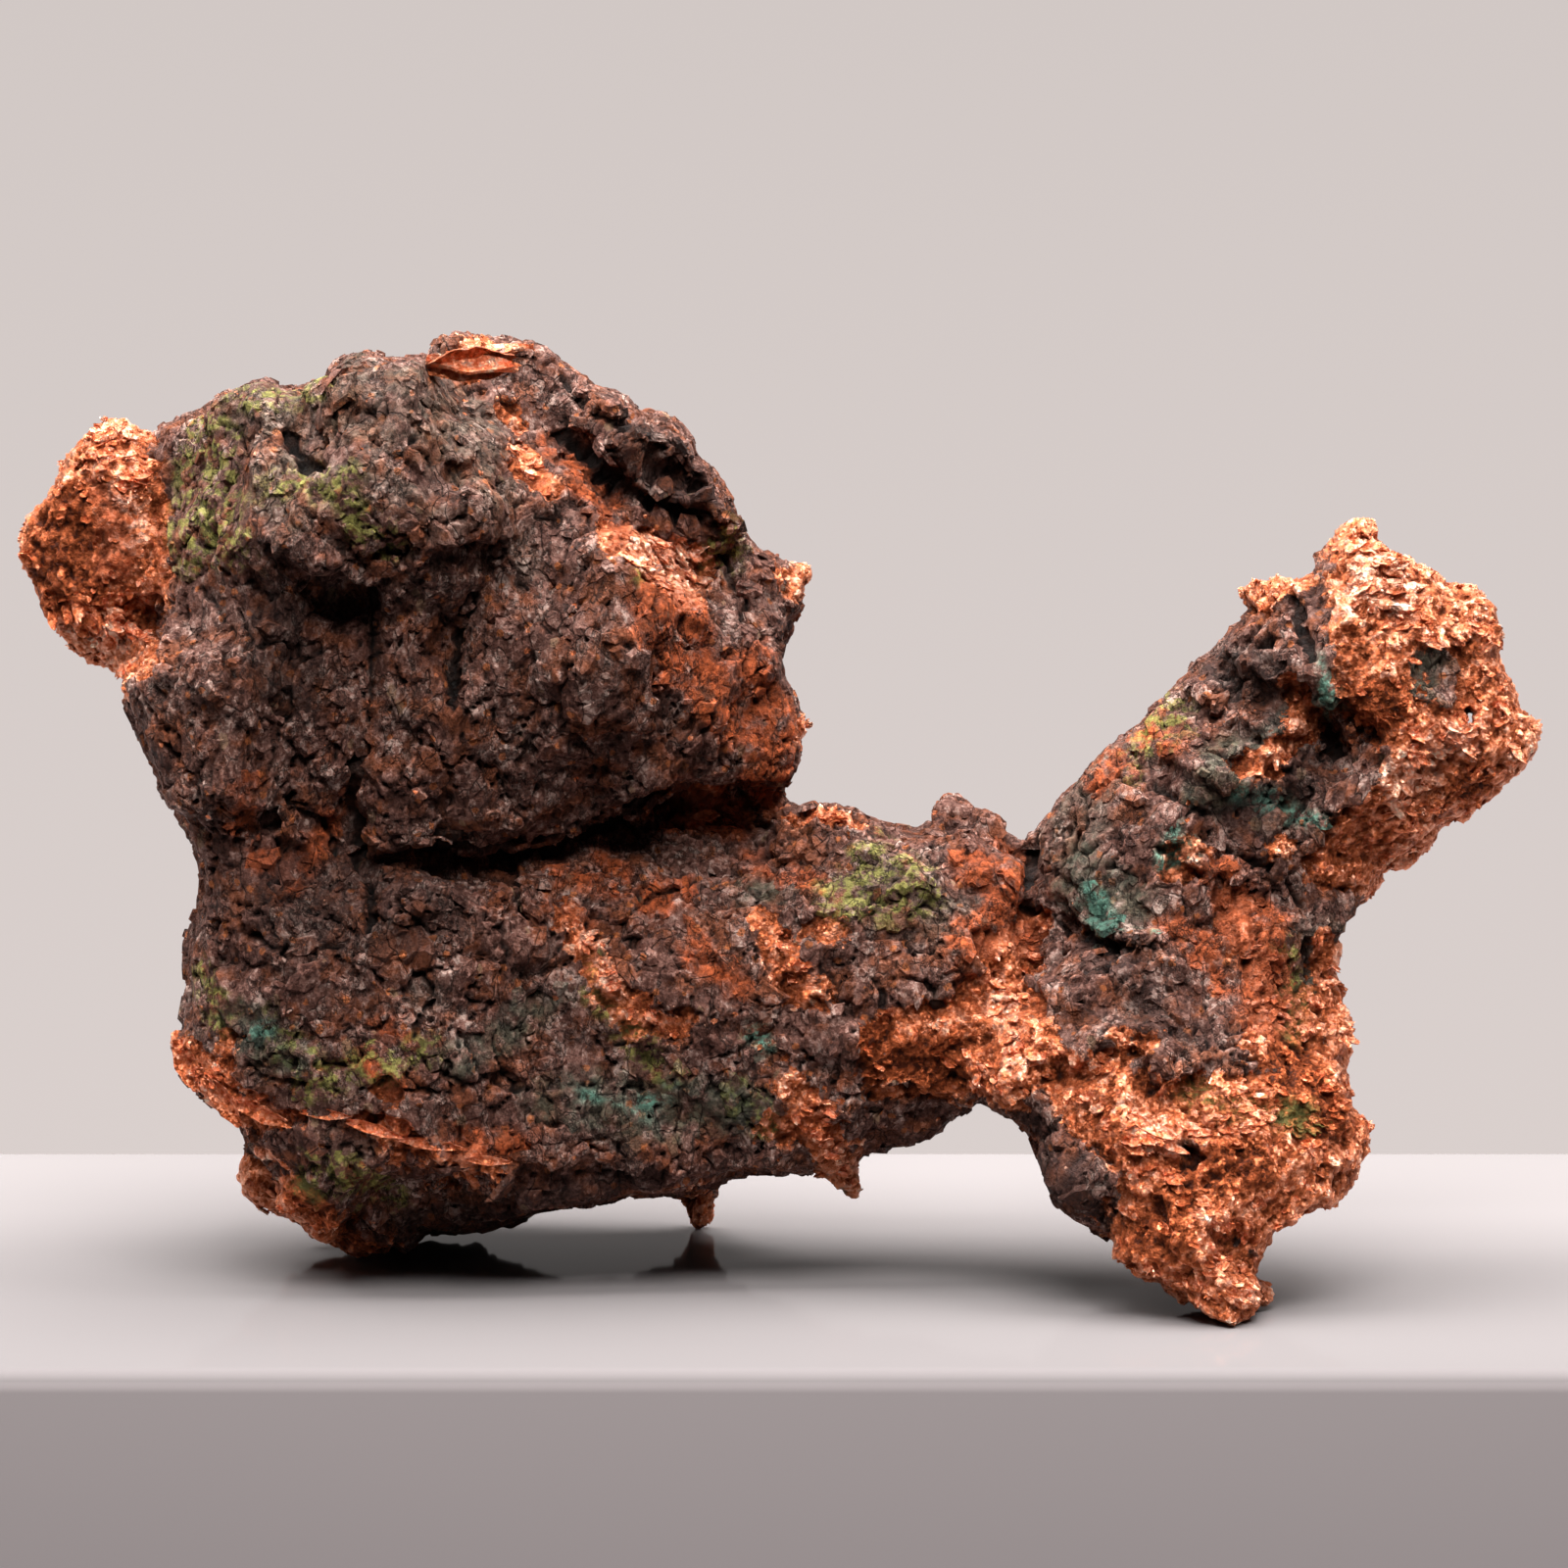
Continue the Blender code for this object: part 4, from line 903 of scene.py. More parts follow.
# %% The fine skin
FINE_SKIN = 0.32
remesh(skin, FINE_SKIN)
skin = keep_largest(skin)
points, normals = drawn(read_points(skin)), smoothed(skin, 5)[1]
bare = bare_depth(points, normals)
metal = soft_step(bare, -0.25, 0.25)
print("fine skin", len(points), "points, bare share", round(float((bare > 0).mean()), 3))


def terraces(values, step):
    """The values turned into flat steps with steep edges between them, as in a crust that peels in layers."""
    level = np.floor(values / step)
    return step * (level + soft_step(values / step - level, 0.7, 1.0))


def along_grain(points):
    """The places squeezed along the crust's grain, so that what is drawn there comes out long: up and down the head,
    along the trunk, and up the branch."""
    head, branch = (points[:, 2] > 37) & (points[:, 0] < 3), points[:, 0] > 20
    up_head, up_branch, along_trunk = unit(np.array([[-0.3, 0.1, 1.0], [0.8, 0.1, 1.0], [1.0, 0.1, -0.2]]))
    way = np.select([head[:, None], branch[:, None]], [up_head, up_branch], along_trunk)
    return points - 0.42 * (points * way).sum(axis=1)[:, None] * way


def crust_relief(points):
    """How far the crust's plates, cracks, layers and grit move each point out, in millimetres."""
    leaning = along_grain(points)
    plates, plate_seam, lot = grains(leaning, 4.6, 70, 0.45)
    small, small_seam, small_lot = grains(leaning, 1.7, 80, 0.4)
    crack = (lot[:, 1] > 0.35) * 0.75 * np.exp(-(plate_seam / 0.2) ** 2)
    small_crack = (small_lot[:, 1] > 0.65) * 0.28 * np.exp(-(small_seam / 0.16) ** 2)
    layers = terraces(0.5 * cloud(leaning, 5.5, 3, 90), 0.24)
    fibres = folds(points * np.array([1.0, 0.7, 0.3]), 1.7, 3, 97)
    grit = 0.10 * cloud(points, 0.9, 2, 99)
    return 0.16 * plates + 0.08 * small - crack - small_crack + layers + 0.18 * (fibres - 0.5) + grit


def copper_relief(points):
    """How far the metal's crumples, flakes and pits move each point out, in millimetres."""
    bent = points + 0.3 * wobble(points, 1.4, (100, 101, 102))
    crease = folds(bent, 3.0, 3, 110)
    leaves, _, _ = grains(bent, 2.2, 115, 0.0)
    flakes, seam, _ = grains(bent, 0.95, 120, 0.0)
    layers = terraces(0.5 * cloud(bent, 3.0, 3, 125), 0.25)
    pits = soft_step(cloud(points, 2.2, 2, 130), 0.85, 1.1)
    return 0.22 * (crease - 0.5) + 0.15 * leaves + 0.13 * flakes + layers - 0.08 * np.exp(-seam / 0.15) - 0.45 * pits


step_edge = 0.45 * (1 - metal) * np.exp(np.minimum(bare, 0) / 1.5) - 0.35 * metal * np.exp(-np.maximum(bare, 0) / 1.6)
step_edge = step_edge + 0.12 * metal - 0.12 * (1 - metal)
jagged = on_sheet(points) + 0.4 * wobble(points, 1.5, (141, 142))
crack = soft_step(depth_in(jagged, CRACKS), -0.12, 0.2) * facing_eye(points, normals) * (1 - metal)
moved = (1 - metal) * crust_relief(points) + metal * copper_relief(points) + step_edge - 0.6 * crack
smooth_points = points
shaped = (points + normals * moved[:, None] + DRAWN_ORIGIN) * MM
shaped[:, 2] = np.maximum(shaped[:, 2], 0.0)
set_points(skin, shaped)
print("moved by", round(float(moved.min()), 2), "to", round(float(moved.max()), 2), "mm")

# %% [markdown]
# Colour follows shape on a real nugget: the copper is rubbed bright on its knobs and turns back to oxide in its
# hollows. The hollows also get painted shade, and what stands out gets a painted highlight. So each point keeps how far
# it stands out from a smoothed copy of the skin, once with a little smoothing and once with a lot.

# %% Values kept for the colours
def stands_out(obj, times):
    """How far each point stands out from a copy that has been smoothed this many times, in millimetres."""
    smooth_points, directions = smoothed(obj, times)
    return ((read_points(obj) - smooth_points) * directions).sum(axis=1) / MM


relief, hollow = stands_out(skin, 12), stands_out(skin, 90)
values = {"bare": bare, "relief": relief, "hollow": hollow, "upward": normals[:, 2], "crack": crack}
for name, chains in PATCHES.items():
    values[name] = patch_share(smooth_points, normals, chains)
for name, value in values.items():
    keep_values(skin, name, value)
print("relief", np.percentile(relief, [5, 50, 95]).round(2), "hollow", np.percentile(hollow, [5, 50, 95]).round(2))

# %% [markdown]
# ## Chips and leaves
# Loose chips lie on the crust like small slates, and thin leaves of metal stand out of the bare copper like scales.
# They are far sharper than a remeshed skin can be. There are thousands, so they are written straight into one mesh
# each, from two layers of points with a rim between them: every chip and leaf is a thin closed solid.

# %% Thin solids
def thin_solids(name, top, bottom, faces, rim, homes, changed):
    """Many thin closed solids in one mesh. Each keeps the values of the skin point that is its home, but for the
    changed ones."""
    count, layer = top.shape[:2]
    pattern = faces + [[corner + layer for corner in reversed(face)] for face in faces]
    pattern += [[a, a + layer, b + layer, b] for a, b in zip(rim, rim[1:] + rim[:1])]
    every_face = [[corner + 2 * layer * number for corner in face] for number in range(count) for face in pattern]
    corners = np.concatenate([top, bottom], axis=1).reshape(-1, 3)
    mesh = bpy.data.meshes.new(name)
    mesh.from_pydata(((corners + DRAWN_ORIGIN) * MM).tolist(), [], every_face)
    obj = bpy.data.objects.new(name, mesh)
    bpy.context.scene.collection.objects.link(obj)
    for value_name, value in values.items():
        own = np.broadcast_to(changed.get(value_name, value[homes]), count)
        keep_values(obj, value_name, np.repeat(own, 2 * layer))
    print(name, count, "solids,", sum(len(face) - 2 for face in pattern) * count, "triangles")
    return obj


def scattered(mask, count, chance):
    """The numbers of this many points, picked by chance where the mask holds and above the soles of the feet."""
    allowed = np.flatnonzero(mask & (skin_points[:, 2] > 2.0))
    return np.sort(chance.choice(allowed, count, replace=False))


# %% Chips of crust
CHIP_SIDES = 6


def add_chips(name, count, seed):
    chance = np.random.default_rng(seed)
    homes = scattered(bare < -0.5, count, chance)
    up = unit(normals[homes] + 0.16 * (chance.random((count, 3)) - 0.5))
    across = unit(np.cross(up, 2 * chance.random((count, 3)) - 1))
    along = np.cross(up, across)
    angle = (np.arange(CHIP_SIDES) + 0.6 * chance.random((count, CHIP_SIDES))) * 2 * math.pi / CHIP_SIDES
    size = (0.35 + 0.9 * chance.random((count, 1)) ** 2) * (0.75 + 0.5 * chance.random((count, CHIP_SIDES)))
    ring = across[:, None] * (1.35 * size * np.cos(angle))[..., None]
    ring = ring + along[:, None] * (0.8 * size * np.sin(angle))[..., None]
    height = 0.03 + 0.12 * chance.random((count, 1, 1))
    centre = skin_points[homes][:, None]
    top = centre + 0.75 * ring + up[:, None] * height
    bottom = centre + 1.05 * ring - up[:, None] * 0.35
    ring_numbers = list(range(CHIP_SIDES))
    return thin_solids(name, top, bottom, [ring_numbers], ring_numbers, homes, {})


# %% Leaves of copper
def rounded_off(values, axis):
    """Each value mixed with its two neighbours along this axis."""
    around = np.concatenate([values.take([0], axis), values, values.take([-1], axis)], axis)
    size = values.shape[axis]
    return sum(around.take(range(step, step + size), axis) for step in range(3)) / 3


def add_leaves(name, homes, out, length, width, tilt, curl, turn, rows, columns, seed, thick, sink, changed):
    """Leaves that grow out of their home points. Out is the way that each faces, and turn the way that it grows."""
    chance = np.random.default_rng(seed)
    count, large = len(homes), rows > 8
    across = unit(np.cross(turn, out))
    along = np.cross(out, across)
    length, width, tilt, curl = (np.broadcast_to(value, count)[:, None, None] for value in (length, width, tilt, curl))
    share = np.linspace(0, 1, rows)[None, :, None]
    side = np.linspace(-0.5, 0.5, columns)[None, None, :]
    ends = 0.1 if large else 0.5
    ragged = ends + (1 - ends) * np.sin(math.pi * (0.06 + 0.88 * share))
    ragged = ragged * (0.75 + 0.5 * chance.random((count, rows, 1)))
    reach = length * share * (0.85 + 0.3 * chance.random((count, 1, columns)))
    crumple = 0.12 * np.minimum(width, 1.5) * (chance.random((count, rows, columns)) - 0.5)
    if large:
        crumple = 2.6 * rounded_off(rounded_off(crumple, 1), 2)
        ragged, reach = rounded_off(ragged, 1), rounded_off(reach, 2)
    lift = reach * np.sin(tilt) + curl * share ** 2 + 0.25 * width * (2 * side) ** 2 * np.sign(curl) + crumple - sink
    grid = skin_points[homes][:, None, None] + along[:, None, None] * (reach * np.cos(tilt))[..., None]
    grid = grid + across[:, None, None] * (width * side * ragged)[..., None] + out[:, None, None] * lift[..., None]
    top = grid.reshape(count, rows * columns, 3)
    faces = [[r * columns + c, r * columns + c + 1, (r + 1) * columns + c + 1, (r + 1) * columns + c]
             for r in range(rows - 1) for c in range(columns - 1)]
    rim = list(range(columns)) + [r * columns + columns - 1 for r in range(1, rows)]
    rim += [(rows - 1) * columns + c for c in range(columns - 2, -1, -1)]
    rim += [r * columns for r in range(rows - 2, 0, -1)]
    leaves = thin_solids(name, top, top - thick * out[:, None], faces, rim, homes, changed)
    work_on(leaves)
    bpy.ops.object.shade_smooth_by_angle(angle=math.radians(35))
    return leaves


def add_small_leaves(name, count, seed):
    chance = np.random.default_rng(seed)
    homes = scattered(bare > 0.5, count, chance)
    length, width = 0.45 + 0.7 * chance.random(count) ** 2, 0.45 + 0.5 * chance.random(count)
    square_on = soft_step(np.abs(skin_facing[homes]), 0.1, 0.5)
    tilt, curl = np.radians(3 + 26 * chance.random(count) * square_on), 0.3 * (chance.random(count) - 0.5)
    turn = 2 * chance.random((count, 3)) - 1
    return add_leaves(name, homes, normals[homes], length, width, tilt, curl, turn, 5, 4, seed + 1, 0.12, 0.12,
                      {"relief": relief[homes] + 0.12})


# %% Large leaves: place on the sheet, length, width, the way it grows on the sheet, how far it faces up, brightness.
# Brightness is kept as the leaf's relief, so it also sets the leaf's painted shade and painted highlight: the
# downturned first leaf is darkened, and the upturned rims above it are lightened.
LARGE_LEAVES = [
    (-28.6, 73.8, 7.0, 2.6, (1, 0.04), -0.4, -0.05), (-28.8, 74.9, 7.4, 2.0, (1, 0.05), 0.9, 0.35),
    (-28.2, 75.2, 6.8, 1.6, (1, 0.03), 1.6, 0.35),
    (-49.8, 19.4, 4.6, 2.0, (0.5, -0.85), 0.1, 0.05), (-47.6, 16.0, 4.6, 1.8, (0.6, -0.7), 0.1, 0.0),
    (-44.8, 13.4, 4.4, 1.3, (1, -0.3), 0.2, 0.05), (-39.8, 12.6, 4.0, 0.8, (1, -0.1), 0.3, 0.1),
    (-35.8, 12.2, 4.6, 1.0, (1, -0.3), 0.3, 0.1), (-31.2, 10.6, 4.6, 0.9, (1, -0.15), 0.2, 0.1),
    (-26.6, 9.2, 3.4, 0.7, (1, -0.05), 0.1, 0.1), (28.2, 13.6, 4.4, 1.0, (1, -0.65), 0.4, 0.3),
    (29.8, 11.4, 3.0, 0.7, (1, -0.5), 0.3, 0.2), (-7.2, 37.8, 2.0, 1.0, (1, 0.1), 0.6, 0.0),
]

# %% Clusters of bright leaves: place on the sheet, radius, count, longest leaf
CLUSTERS = [
    (-55.0, 67.4, 2.6, 26, 2.0), (-57.6, 53.2, 2.6, 26, 2.2), (-53.4, 51.6, 1.8, 14, 2.0), (-53.8, 64.0, 1.6, 10, 1.8),
    (-11.8, 59.2, 1.9, 26, 1.6), (-8.8, 57.6, 2.0, 26, 1.6), (-21.6, 68.0, 1.1, 12, 1.2), (-21.0, 65.6, 0.8, 7, 1.0),
    (48.6, 56.4, 2.6, 24, 2.2), (50.6, 52.6, 2.4, 18, 1.6), (55.6, 52.8, 2.2, 16, 1.6), (46.8, 59.6, 1.6, 12, 1.4),
    (53.6, 43.6, 3.0, 26, 1.6), (58.4, 45.0, 2.4, 18, 1.6), (50.6, 38.6, 2.6, 18, 1.6),
    (-16.0, 27.2, 0.9, 9, 1.2), (-14.4, 24.2, 1.1, 12, 1.2), (-10.8, 21.6, 1.2, 10, 1.2),
    (-0.6, 27.2, 0.8, 7, 1.0), (1.2, 24.2, 1.0, 9, 1.2), (2.2, 13.0, 1.4, 12, 1.2), (4.4, 9.4, 1.2, 9, 1.2),
    (17.4, 22.4, 1.8, 14, 1.8), (18.2, 18.4, 2.0, 18, 1.8), (12.8, 19.4, 1.8, 12, 1.4), (15.6, 16.2, 1.4, 9, 1.4),
    (30.4, 10.8, 3.0, 26, 1.8), (36.0, 13.0, 3.0, 24, 1.6), (42.4, 13.4, 3.0, 24, 1.6), (33.4, 4.6, 2.6, 18, 1.4),
    (34.2, -0.6, 2.4, 14, 1.4), (38.4, -1.6, 1.6, 9, 1.2), (45.6, 20.4, 1.4, 10, 1.2), (45.2, 24.6, 1.2, 8, 1.2),
    (-47.8, 16.8, 1.8, 12, 1.6), (-40.0, 4.2, 2.4, 12, 1.4), (-6.0, 37.6, 1.6, 10, 1.2), (2.4, 37.8, 2.0, 12, 1.2),
    (6.6, 17.6, 1.6, 10, 1.2), (20.0, 27.0, 1.2, 8, 1.2), (38.6, 25.0, 1.8, 12, 1.2), (39.4, 20.6, 1.8, 12, 1.2),
]


def home_at(place):
    """The front-most skin point that is seen near this place on the sheet."""
    away = np.linalg.norm(skin_sheet - np.array(place), axis=1) + 3 * (skin_facing < 0.1)
    near = np.flatnonzero(away < max(0.7, float(away.min()) + 0.1))
    return near[np.argmin(skin_points[near, 1])]


def add_large_leaves(name, seed):
    homes = np.array([home_at(leaf[:2]) for leaf in LARGE_LEAVES])
    length, width = np.array([leaf[2:4] for leaf in LARGE_LEAVES]).T
    turn = np.array([(leaf[4][0], 0.0, leaf[4][1]) for leaf in LARGE_LEAVES])
    out = unit(np.array([(0.0, -1.0, leaf[5]) for leaf in LARGE_LEAVES]) + 0.4 * normals[homes])
    changed = {"bare": 3.0, "hollow": 0.3, "red": 0.0, "olive": 0.0, "teal": 0.0, "dull": 0.0,
               "relief": np.array([leaf[6] for leaf in LARGE_LEAVES])}
    return add_leaves(name, homes, out, length, width, math.radians(3), 0.35, turn, 16, 8, seed, 0.3, 0.0, changed)


def add_clusters(name, seed):
    chance = np.random.default_rng(seed)
    homes, longest = [], []
    for x, z, radius, count, length in CLUSTERS:
        away = np.linalg.norm(skin_sheet - np.array((x, z)), axis=1)
        near = np.flatnonzero((away < radius) & (skin_facing > 0.45) & (bare > 0))
        picked = chance.choice(near, min(count, len(near)), replace=False)
        homes.extend(picked)
        longest.extend([length] * len(picked))
    homes, longest = np.array(homes), np.array(longest)
    count = len(homes)
    length = longest * (0.5 + 0.5 * chance.random(count))
    turn = np.array((1.0, 0.0, -0.35)) + 1.4 * (chance.random((count, 3)) - 0.5)
    out = unit(normals[homes] + 0.5 * np.array((0.0, -0.6, 0.8)) + 0.4 * (chance.random((count, 3)) - 0.5))
    # The raised relief makes these leaves rubbed bright and also gives them a painted highlight.
    changed = {"relief": 0.05 + 0.3 * chance.random(count), "hollow": 0.2}
    return add_leaves(name, homes, out, length, 0.5 * length, np.radians(16 * chance.random(count)),
                      0.4 * (chance.random(count) - 0.5), turn, 6, 5, seed + 1, 0.16, 0.05, changed)


# %% Scatter them
skin_points = drawn(read_points(skin))
skin_sheet, skin_facing = on_sheet(skin_points), toward_eye(skin_points, normals)
CHIP_COUNT, LEAF_COUNT = 7000, 2600
loose = [add_chips("crust_chips", CHIP_COUNT, 301), add_small_leaves("copper_leaves", LEAF_COUNT, 311),
         add_large_leaves("large_leaves", 321), add_clusters("leaf_clusters", 331)]

# %% [markdown]
# ## Pieces
# One mesh of this size is heavy, so it is cut across its length into slabs, like a loaf, with about as many points in
# each. Each cut is closed with a cap, so every slab is a solid. Each point keeps the direction that it faced before
# the cuts, so that no seam shows.

# %% Cut the skin into parts
def cut(obj, place, direction):
    """Keeps what lies behind the plane through place, in drawn millimetres, and closes the cut."""
    edit_all(obj, bpy.ops.mesh.bisect, plane_co=(np.array(place) + DRAWN_ORIGIN) * MM, plane_no=direction,
             use_fill=True, clear_outer=True, threshold=1e-7)


facing = skin.data.attributes.new("facing", "FLOAT_VECTOR", "POINT")
facing.data.foreach_set("vector", read_points(skin, "normal").astype(np.float32).ravel())
SLABS = 7
SLAB_ENDS = np.quantile(points[:, 0], np.arange(1, SLABS) / SLABS)


def cut_slab(number):
    """The slab of this number, counted from the left."""
    part = copy_of(skin, f"nugget_slab_{number + 1}")
    if number > 0:
        cut(part, (SLAB_ENDS[number - 1], 0, 0), (-1, 0, 0))
    if number < SLABS - 1:
        cut(part, (SLAB_ENDS[number], 0, 0), (1, 0, 0))
    work_on(part)
    bpy.ops.object.shade_smooth()
    kept_facing = np.empty(len(part.data.vertices) * 3, np.float32)
    part.data.attributes["facing"].data.foreach_get("vector", kept_facing)
    part.data.normals_split_custom_set_from_vertices(kept_facing.reshape(-1, 3).tolist())
    part.data.attributes.remove(part.data.attributes["facing"])
    print(part.name, sum(len(face.vertices) - 2 for face in part.data.polygons), "triangles")
    return part


parts = [cut_slab(number) for number in range(SLABS)]
bpy.data.objects.remove(skin)

# %% [markdown]
# ## Materials
# The finishes are mixed from a few shader groups: chips, blotches and flecks. Each is built once and placed with its
# own sizes, in millimetres.

# %% Node helpers
def feed(tree, socket, value):
    """Links another node's output to the socket, or sets the socket to a plain value."""
    if isinstance(value, bpy.types.NodeSocket):
        tree.links.new(value, socket)
    else:
        socket.default_value = value


def add_node(tree, kind, inputs=None, **settings):
    made = tree.nodes.new("ShaderNode" + kind)
    for name, value in settings.items():
        setattr(made, name, value)
    for name, value in (inputs or {}).items():
        feed(tree, made.inputs[name], value)
    return made


def new_group(name, inputs, outputs):
    tree = bpy.data.node_groups.new(name, "ShaderNodeTree")
    for socket, value in inputs.items():
        kind = "NodeSocketVector" if value is None else "NodeSocketFloat"
        made = tree.interface.new_socket(name=socket, in_out="INPUT", socket_type=kind)
        if value is not None:
            made.default_value = value
    for socket in outputs:
        tree.interface.new_socket(name=socket, in_out="OUTPUT", socket_type="NodeSocketFloat")
    return tree, tree.nodes.new("NodeGroupInput").outputs, tree.nodes.new("NodeGroupOutput").inputs


def place_group(tree, group, **inputs):
    made = tree.nodes.new("ShaderNodeGroup")
    made.node_tree = group
    for name, value in inputs.items():
        feed(tree, made.inputs[name], value)
    return made.outputs


def calc(tree, operation, a, b=0.0, clamp=False):
    return add_node(tree, "Math", {0: a, 1: b}, operation=operation, use_clamp=clamp).outputs[0]


def fit(tree, value, low, high, to_low=0.0, to_high=1.0):
    return add_node(tree, "MapRange", {"Value": value, "From Min": low, "From Max": high, "To Min": to_low,
                                       "To Max": to_high}).outputs[0]


def mix_colour(tree, share, a, b, blend="MIX"):
    made = tree.nodes.new("ShaderNodeMix")
    made.data_type = "RGBA"
    made.blend_type = blend
    feed(tree, made.inputs[0], share)
    for index, colour in ((6, a), (7, b)):
        feed(tree, made.inputs[index], (*colour, 1) if isinstance(colour, tuple) else colour)
    return made.outputs[2]


def mix_value(tree, share, a, b):
    return add_node(tree, "Mix", {0: share, 2: a, 3: b}).outputs[0]


def ramp(tree, share, stops):
    """The colours of the stops, each (place, colour), blended along the share."""
    made = tree.nodes.new("ShaderNodeValToRGB")
    tree.links.new(share, made.inputs[0])
    while len(made.color_ramp.elements) < len(stops):
        made.color_ramp.elements.new(0.5)
    for element, (place, colour) in zip(made.color_ramp.elements, stops):
        element.position = place
        element.color = (*colour, 1)
    return made.outputs[0]


# %% [markdown]
# Chips are small flat-faced cells whose borders are bent by a cloud, so that they don't look like a honeycomb. Each has
# its own tone and tilt, and a seam around it. They give the crust its grain and the metal its scaly glint.

# %% Shared effects
def build_chips():
    """Flat-faced cells: their tone, how near the seam is, and their tilted face."""
    tree, given, out = new_group("chips", {"Vector": None, "Size": 1.0, "Bend": 0.4}, ["Tone", "Seam", "Face"])
    scale = calc(tree, "DIVIDE", 1.0, given["Size"])
    cloud_scale = calc(tree, "MULTIPLY", scale, 1.3)
    bend = add_node(tree, "TexNoise", {"Vector": given["Vector"], "Scale": cloud_scale, "Detail": 2.0})
    centred = add_node(tree, "VectorMath", {0: bend.outputs["Color"], 1: (0.5, 0.5, 0.5)}, operation="SUBTRACT")
    reach = calc(tree, "MULTIPLY", given["Bend"], given["Size"])
    bent = add_node(tree, "VectorMath", {0: centred.outputs[0], "Scale": reach}, operation="SCALE").outputs[0]
    bent = add_node(tree, "VectorMath", {0: given["Vector"], 1: bent}, operation="ADD").outputs[0]
    cells = add_node(tree, "TexVoronoi", {"Vector": bent, "Scale": scale})
    edges = add_node(tree, "TexVoronoi", {"Vector": bent, "Scale": scale}, feature="DISTANCE_TO_EDGE")
    tree.links.new(add_node(tree, "SeparateColor", {0: cells.outputs["Color"]}).outputs[0], out["Tone"])
    tree.links.new(edges.outputs["Distance"], out["Seam"])
    way = add_node(tree, "VectorMath", {0: bent, 1: cells.outputs["Position"]}, operation="SUBTRACT").outputs[0]
    tilt = add_node(tree, "VectorMath", {0: cells.outputs["Color"], 1: (0.5, 0.5, 0.5)}, operation="SUBTRACT")
    face = add_node(tree, "VectorMath", {0: way, 1: tilt.outputs[0]}, operation="DOT_PRODUCT")
    tree.links.new(face.outputs["Value"], out["Face"])
    return tree


def build_blotches():
    """Cloud-shaped blotches, more of them where Level is low."""
    tree, given, out = new_group("blotches", {"Vector": None, "Size": 5.0, "Level": 0.5, "Softness": 0.05}, ["Mask"])
    scale = calc(tree, "DIVIDE", 1.0, given["Size"])
    mist = add_node(tree, "TexNoise", {"Vector": given["Vector"], "Scale": scale, "Detail": 6.0, "Roughness": 0.65})
    low = calc(tree, "SUBTRACT", given["Level"], given["Softness"])
    high = calc(tree, "ADD", given["Level"], given["Softness"])
    tree.links.new(fit(tree, mist.outputs["Fac"], low, high), out["Mask"])
    return tree


def build_flecks():
    """Small ragged spots in a share of the cells."""
    tree, given, out = new_group("flecks", {"Vector": None, "Size": 1.0, "Radius": 0.2, "Share": 0.3}, ["Mask"])
    scale = calc(tree, "DIVIDE", 1.0, given["Size"])
    bend = add_node(tree, "TexNoise", {"Vector": given["Vector"], "Scale": 3.0, "Detail": 2.0})
    bent = add_node(tree, "VectorMath", {0: bend.outputs["Color"], "Scale": 0.35}, operation="SCALE").outputs[0]
    bent = add_node(tree, "VectorMath", {0: given["Vector"], 1: bent}, operation="ADD").outputs[0]
    cells = add_node(tree, "TexVoronoi", {"Vector": bent, "Scale": scale})
    pick = calc(tree, "LESS_THAN", add_node(tree, "SeparateColor", {0: cells.outputs["Color"]}).outputs[0],
                given["Share"])
    spot = calc(tree, "LESS_THAN", cells.outputs["Distance"], given["Radius"])
    tree.links.new(calc(tree, "MULTIPLY", pick, spot), out["Mask"])
    return tree


def build_mottle():
    """A fine cloud, its creases, and the same cloud in flat steps."""
    tree, given, out = new_group("mottle", {"Vector": None, "Size": 1.0}, ["Tone", "Crease", "Ledges"])
    scale = calc(tree, "DIVIDE", 1.0, given["Size"])
    mist = add_node(tree, "TexNoise", {"Vector": given["Vector"], "Scale": scale, "Detail": 5.0, "Roughness": 0.68})
    tree.links.new(fit(tree, mist.outputs["Fac"], 0.28, 0.72), out["Tone"])
    middle = calc(tree, "ABSOLUTE", calc(tree, "SUBTRACT", mist.outputs["Fac"], 0.5))
    tree.links.new(fit(tree, middle, 0.0, 0.035, 1.0, 0.0), out["Crease"])
    steps = calc(tree, "MULTIPLY", mist.outputs["Fac"], 14.0)
    rise = fit(tree, calc(tree, "FRACT", steps), 0.65, 1.0)
    tree.links.new(calc(tree, "DIVIDE", calc(tree, "ADD", calc(tree, "FLOOR", steps), rise), 14.0), out["Ledges"])
    return tree


CHIPS, BLOTCHES, FLECKS, MOTTLE = build_chips(), build_blotches(), build_flecks(), build_mottle()


def new_material(name):
    material = bpy.data.materials.new(name)
    material.use_nodes = True
    tree = material.node_tree
    where = add_node(tree, "TexCoord").outputs["Object"]
    in_mm = add_node(tree, "VectorMath", {0: where, "Scale": 1000.0}, operation="SCALE").outputs[0]
    return material, tree, tree.nodes["Principled BSDF"], in_mm


def kept(tree, name):
    return add_node(tree, "Attribute", attribute_name=name).outputs["Fac"]


# %% [markdown]
# ### The skin's material
# The crust is a dark purple-brown, paler and greyer on its upper faces, near black in its cracks, with rusty and
# sandy spots. Bare copper is pink-white where it is rubbed bright, orange on its flanks and red-brown in its pits,
# where it has begun to turn back to oxide. Both are in one material, because the border between them is finer than
# the mesh: the kept depth of the bare patches gets a last ragged edge from a cloud.

# %% Crust colour
def times(tree, value, factor):
    return calc(tree, "MULTIPLY", value, factor)


def add_up(tree, *values):
    total = values[0]
    for value in values[1:]:
        total = calc(tree, "ADD", total, value)
    return total


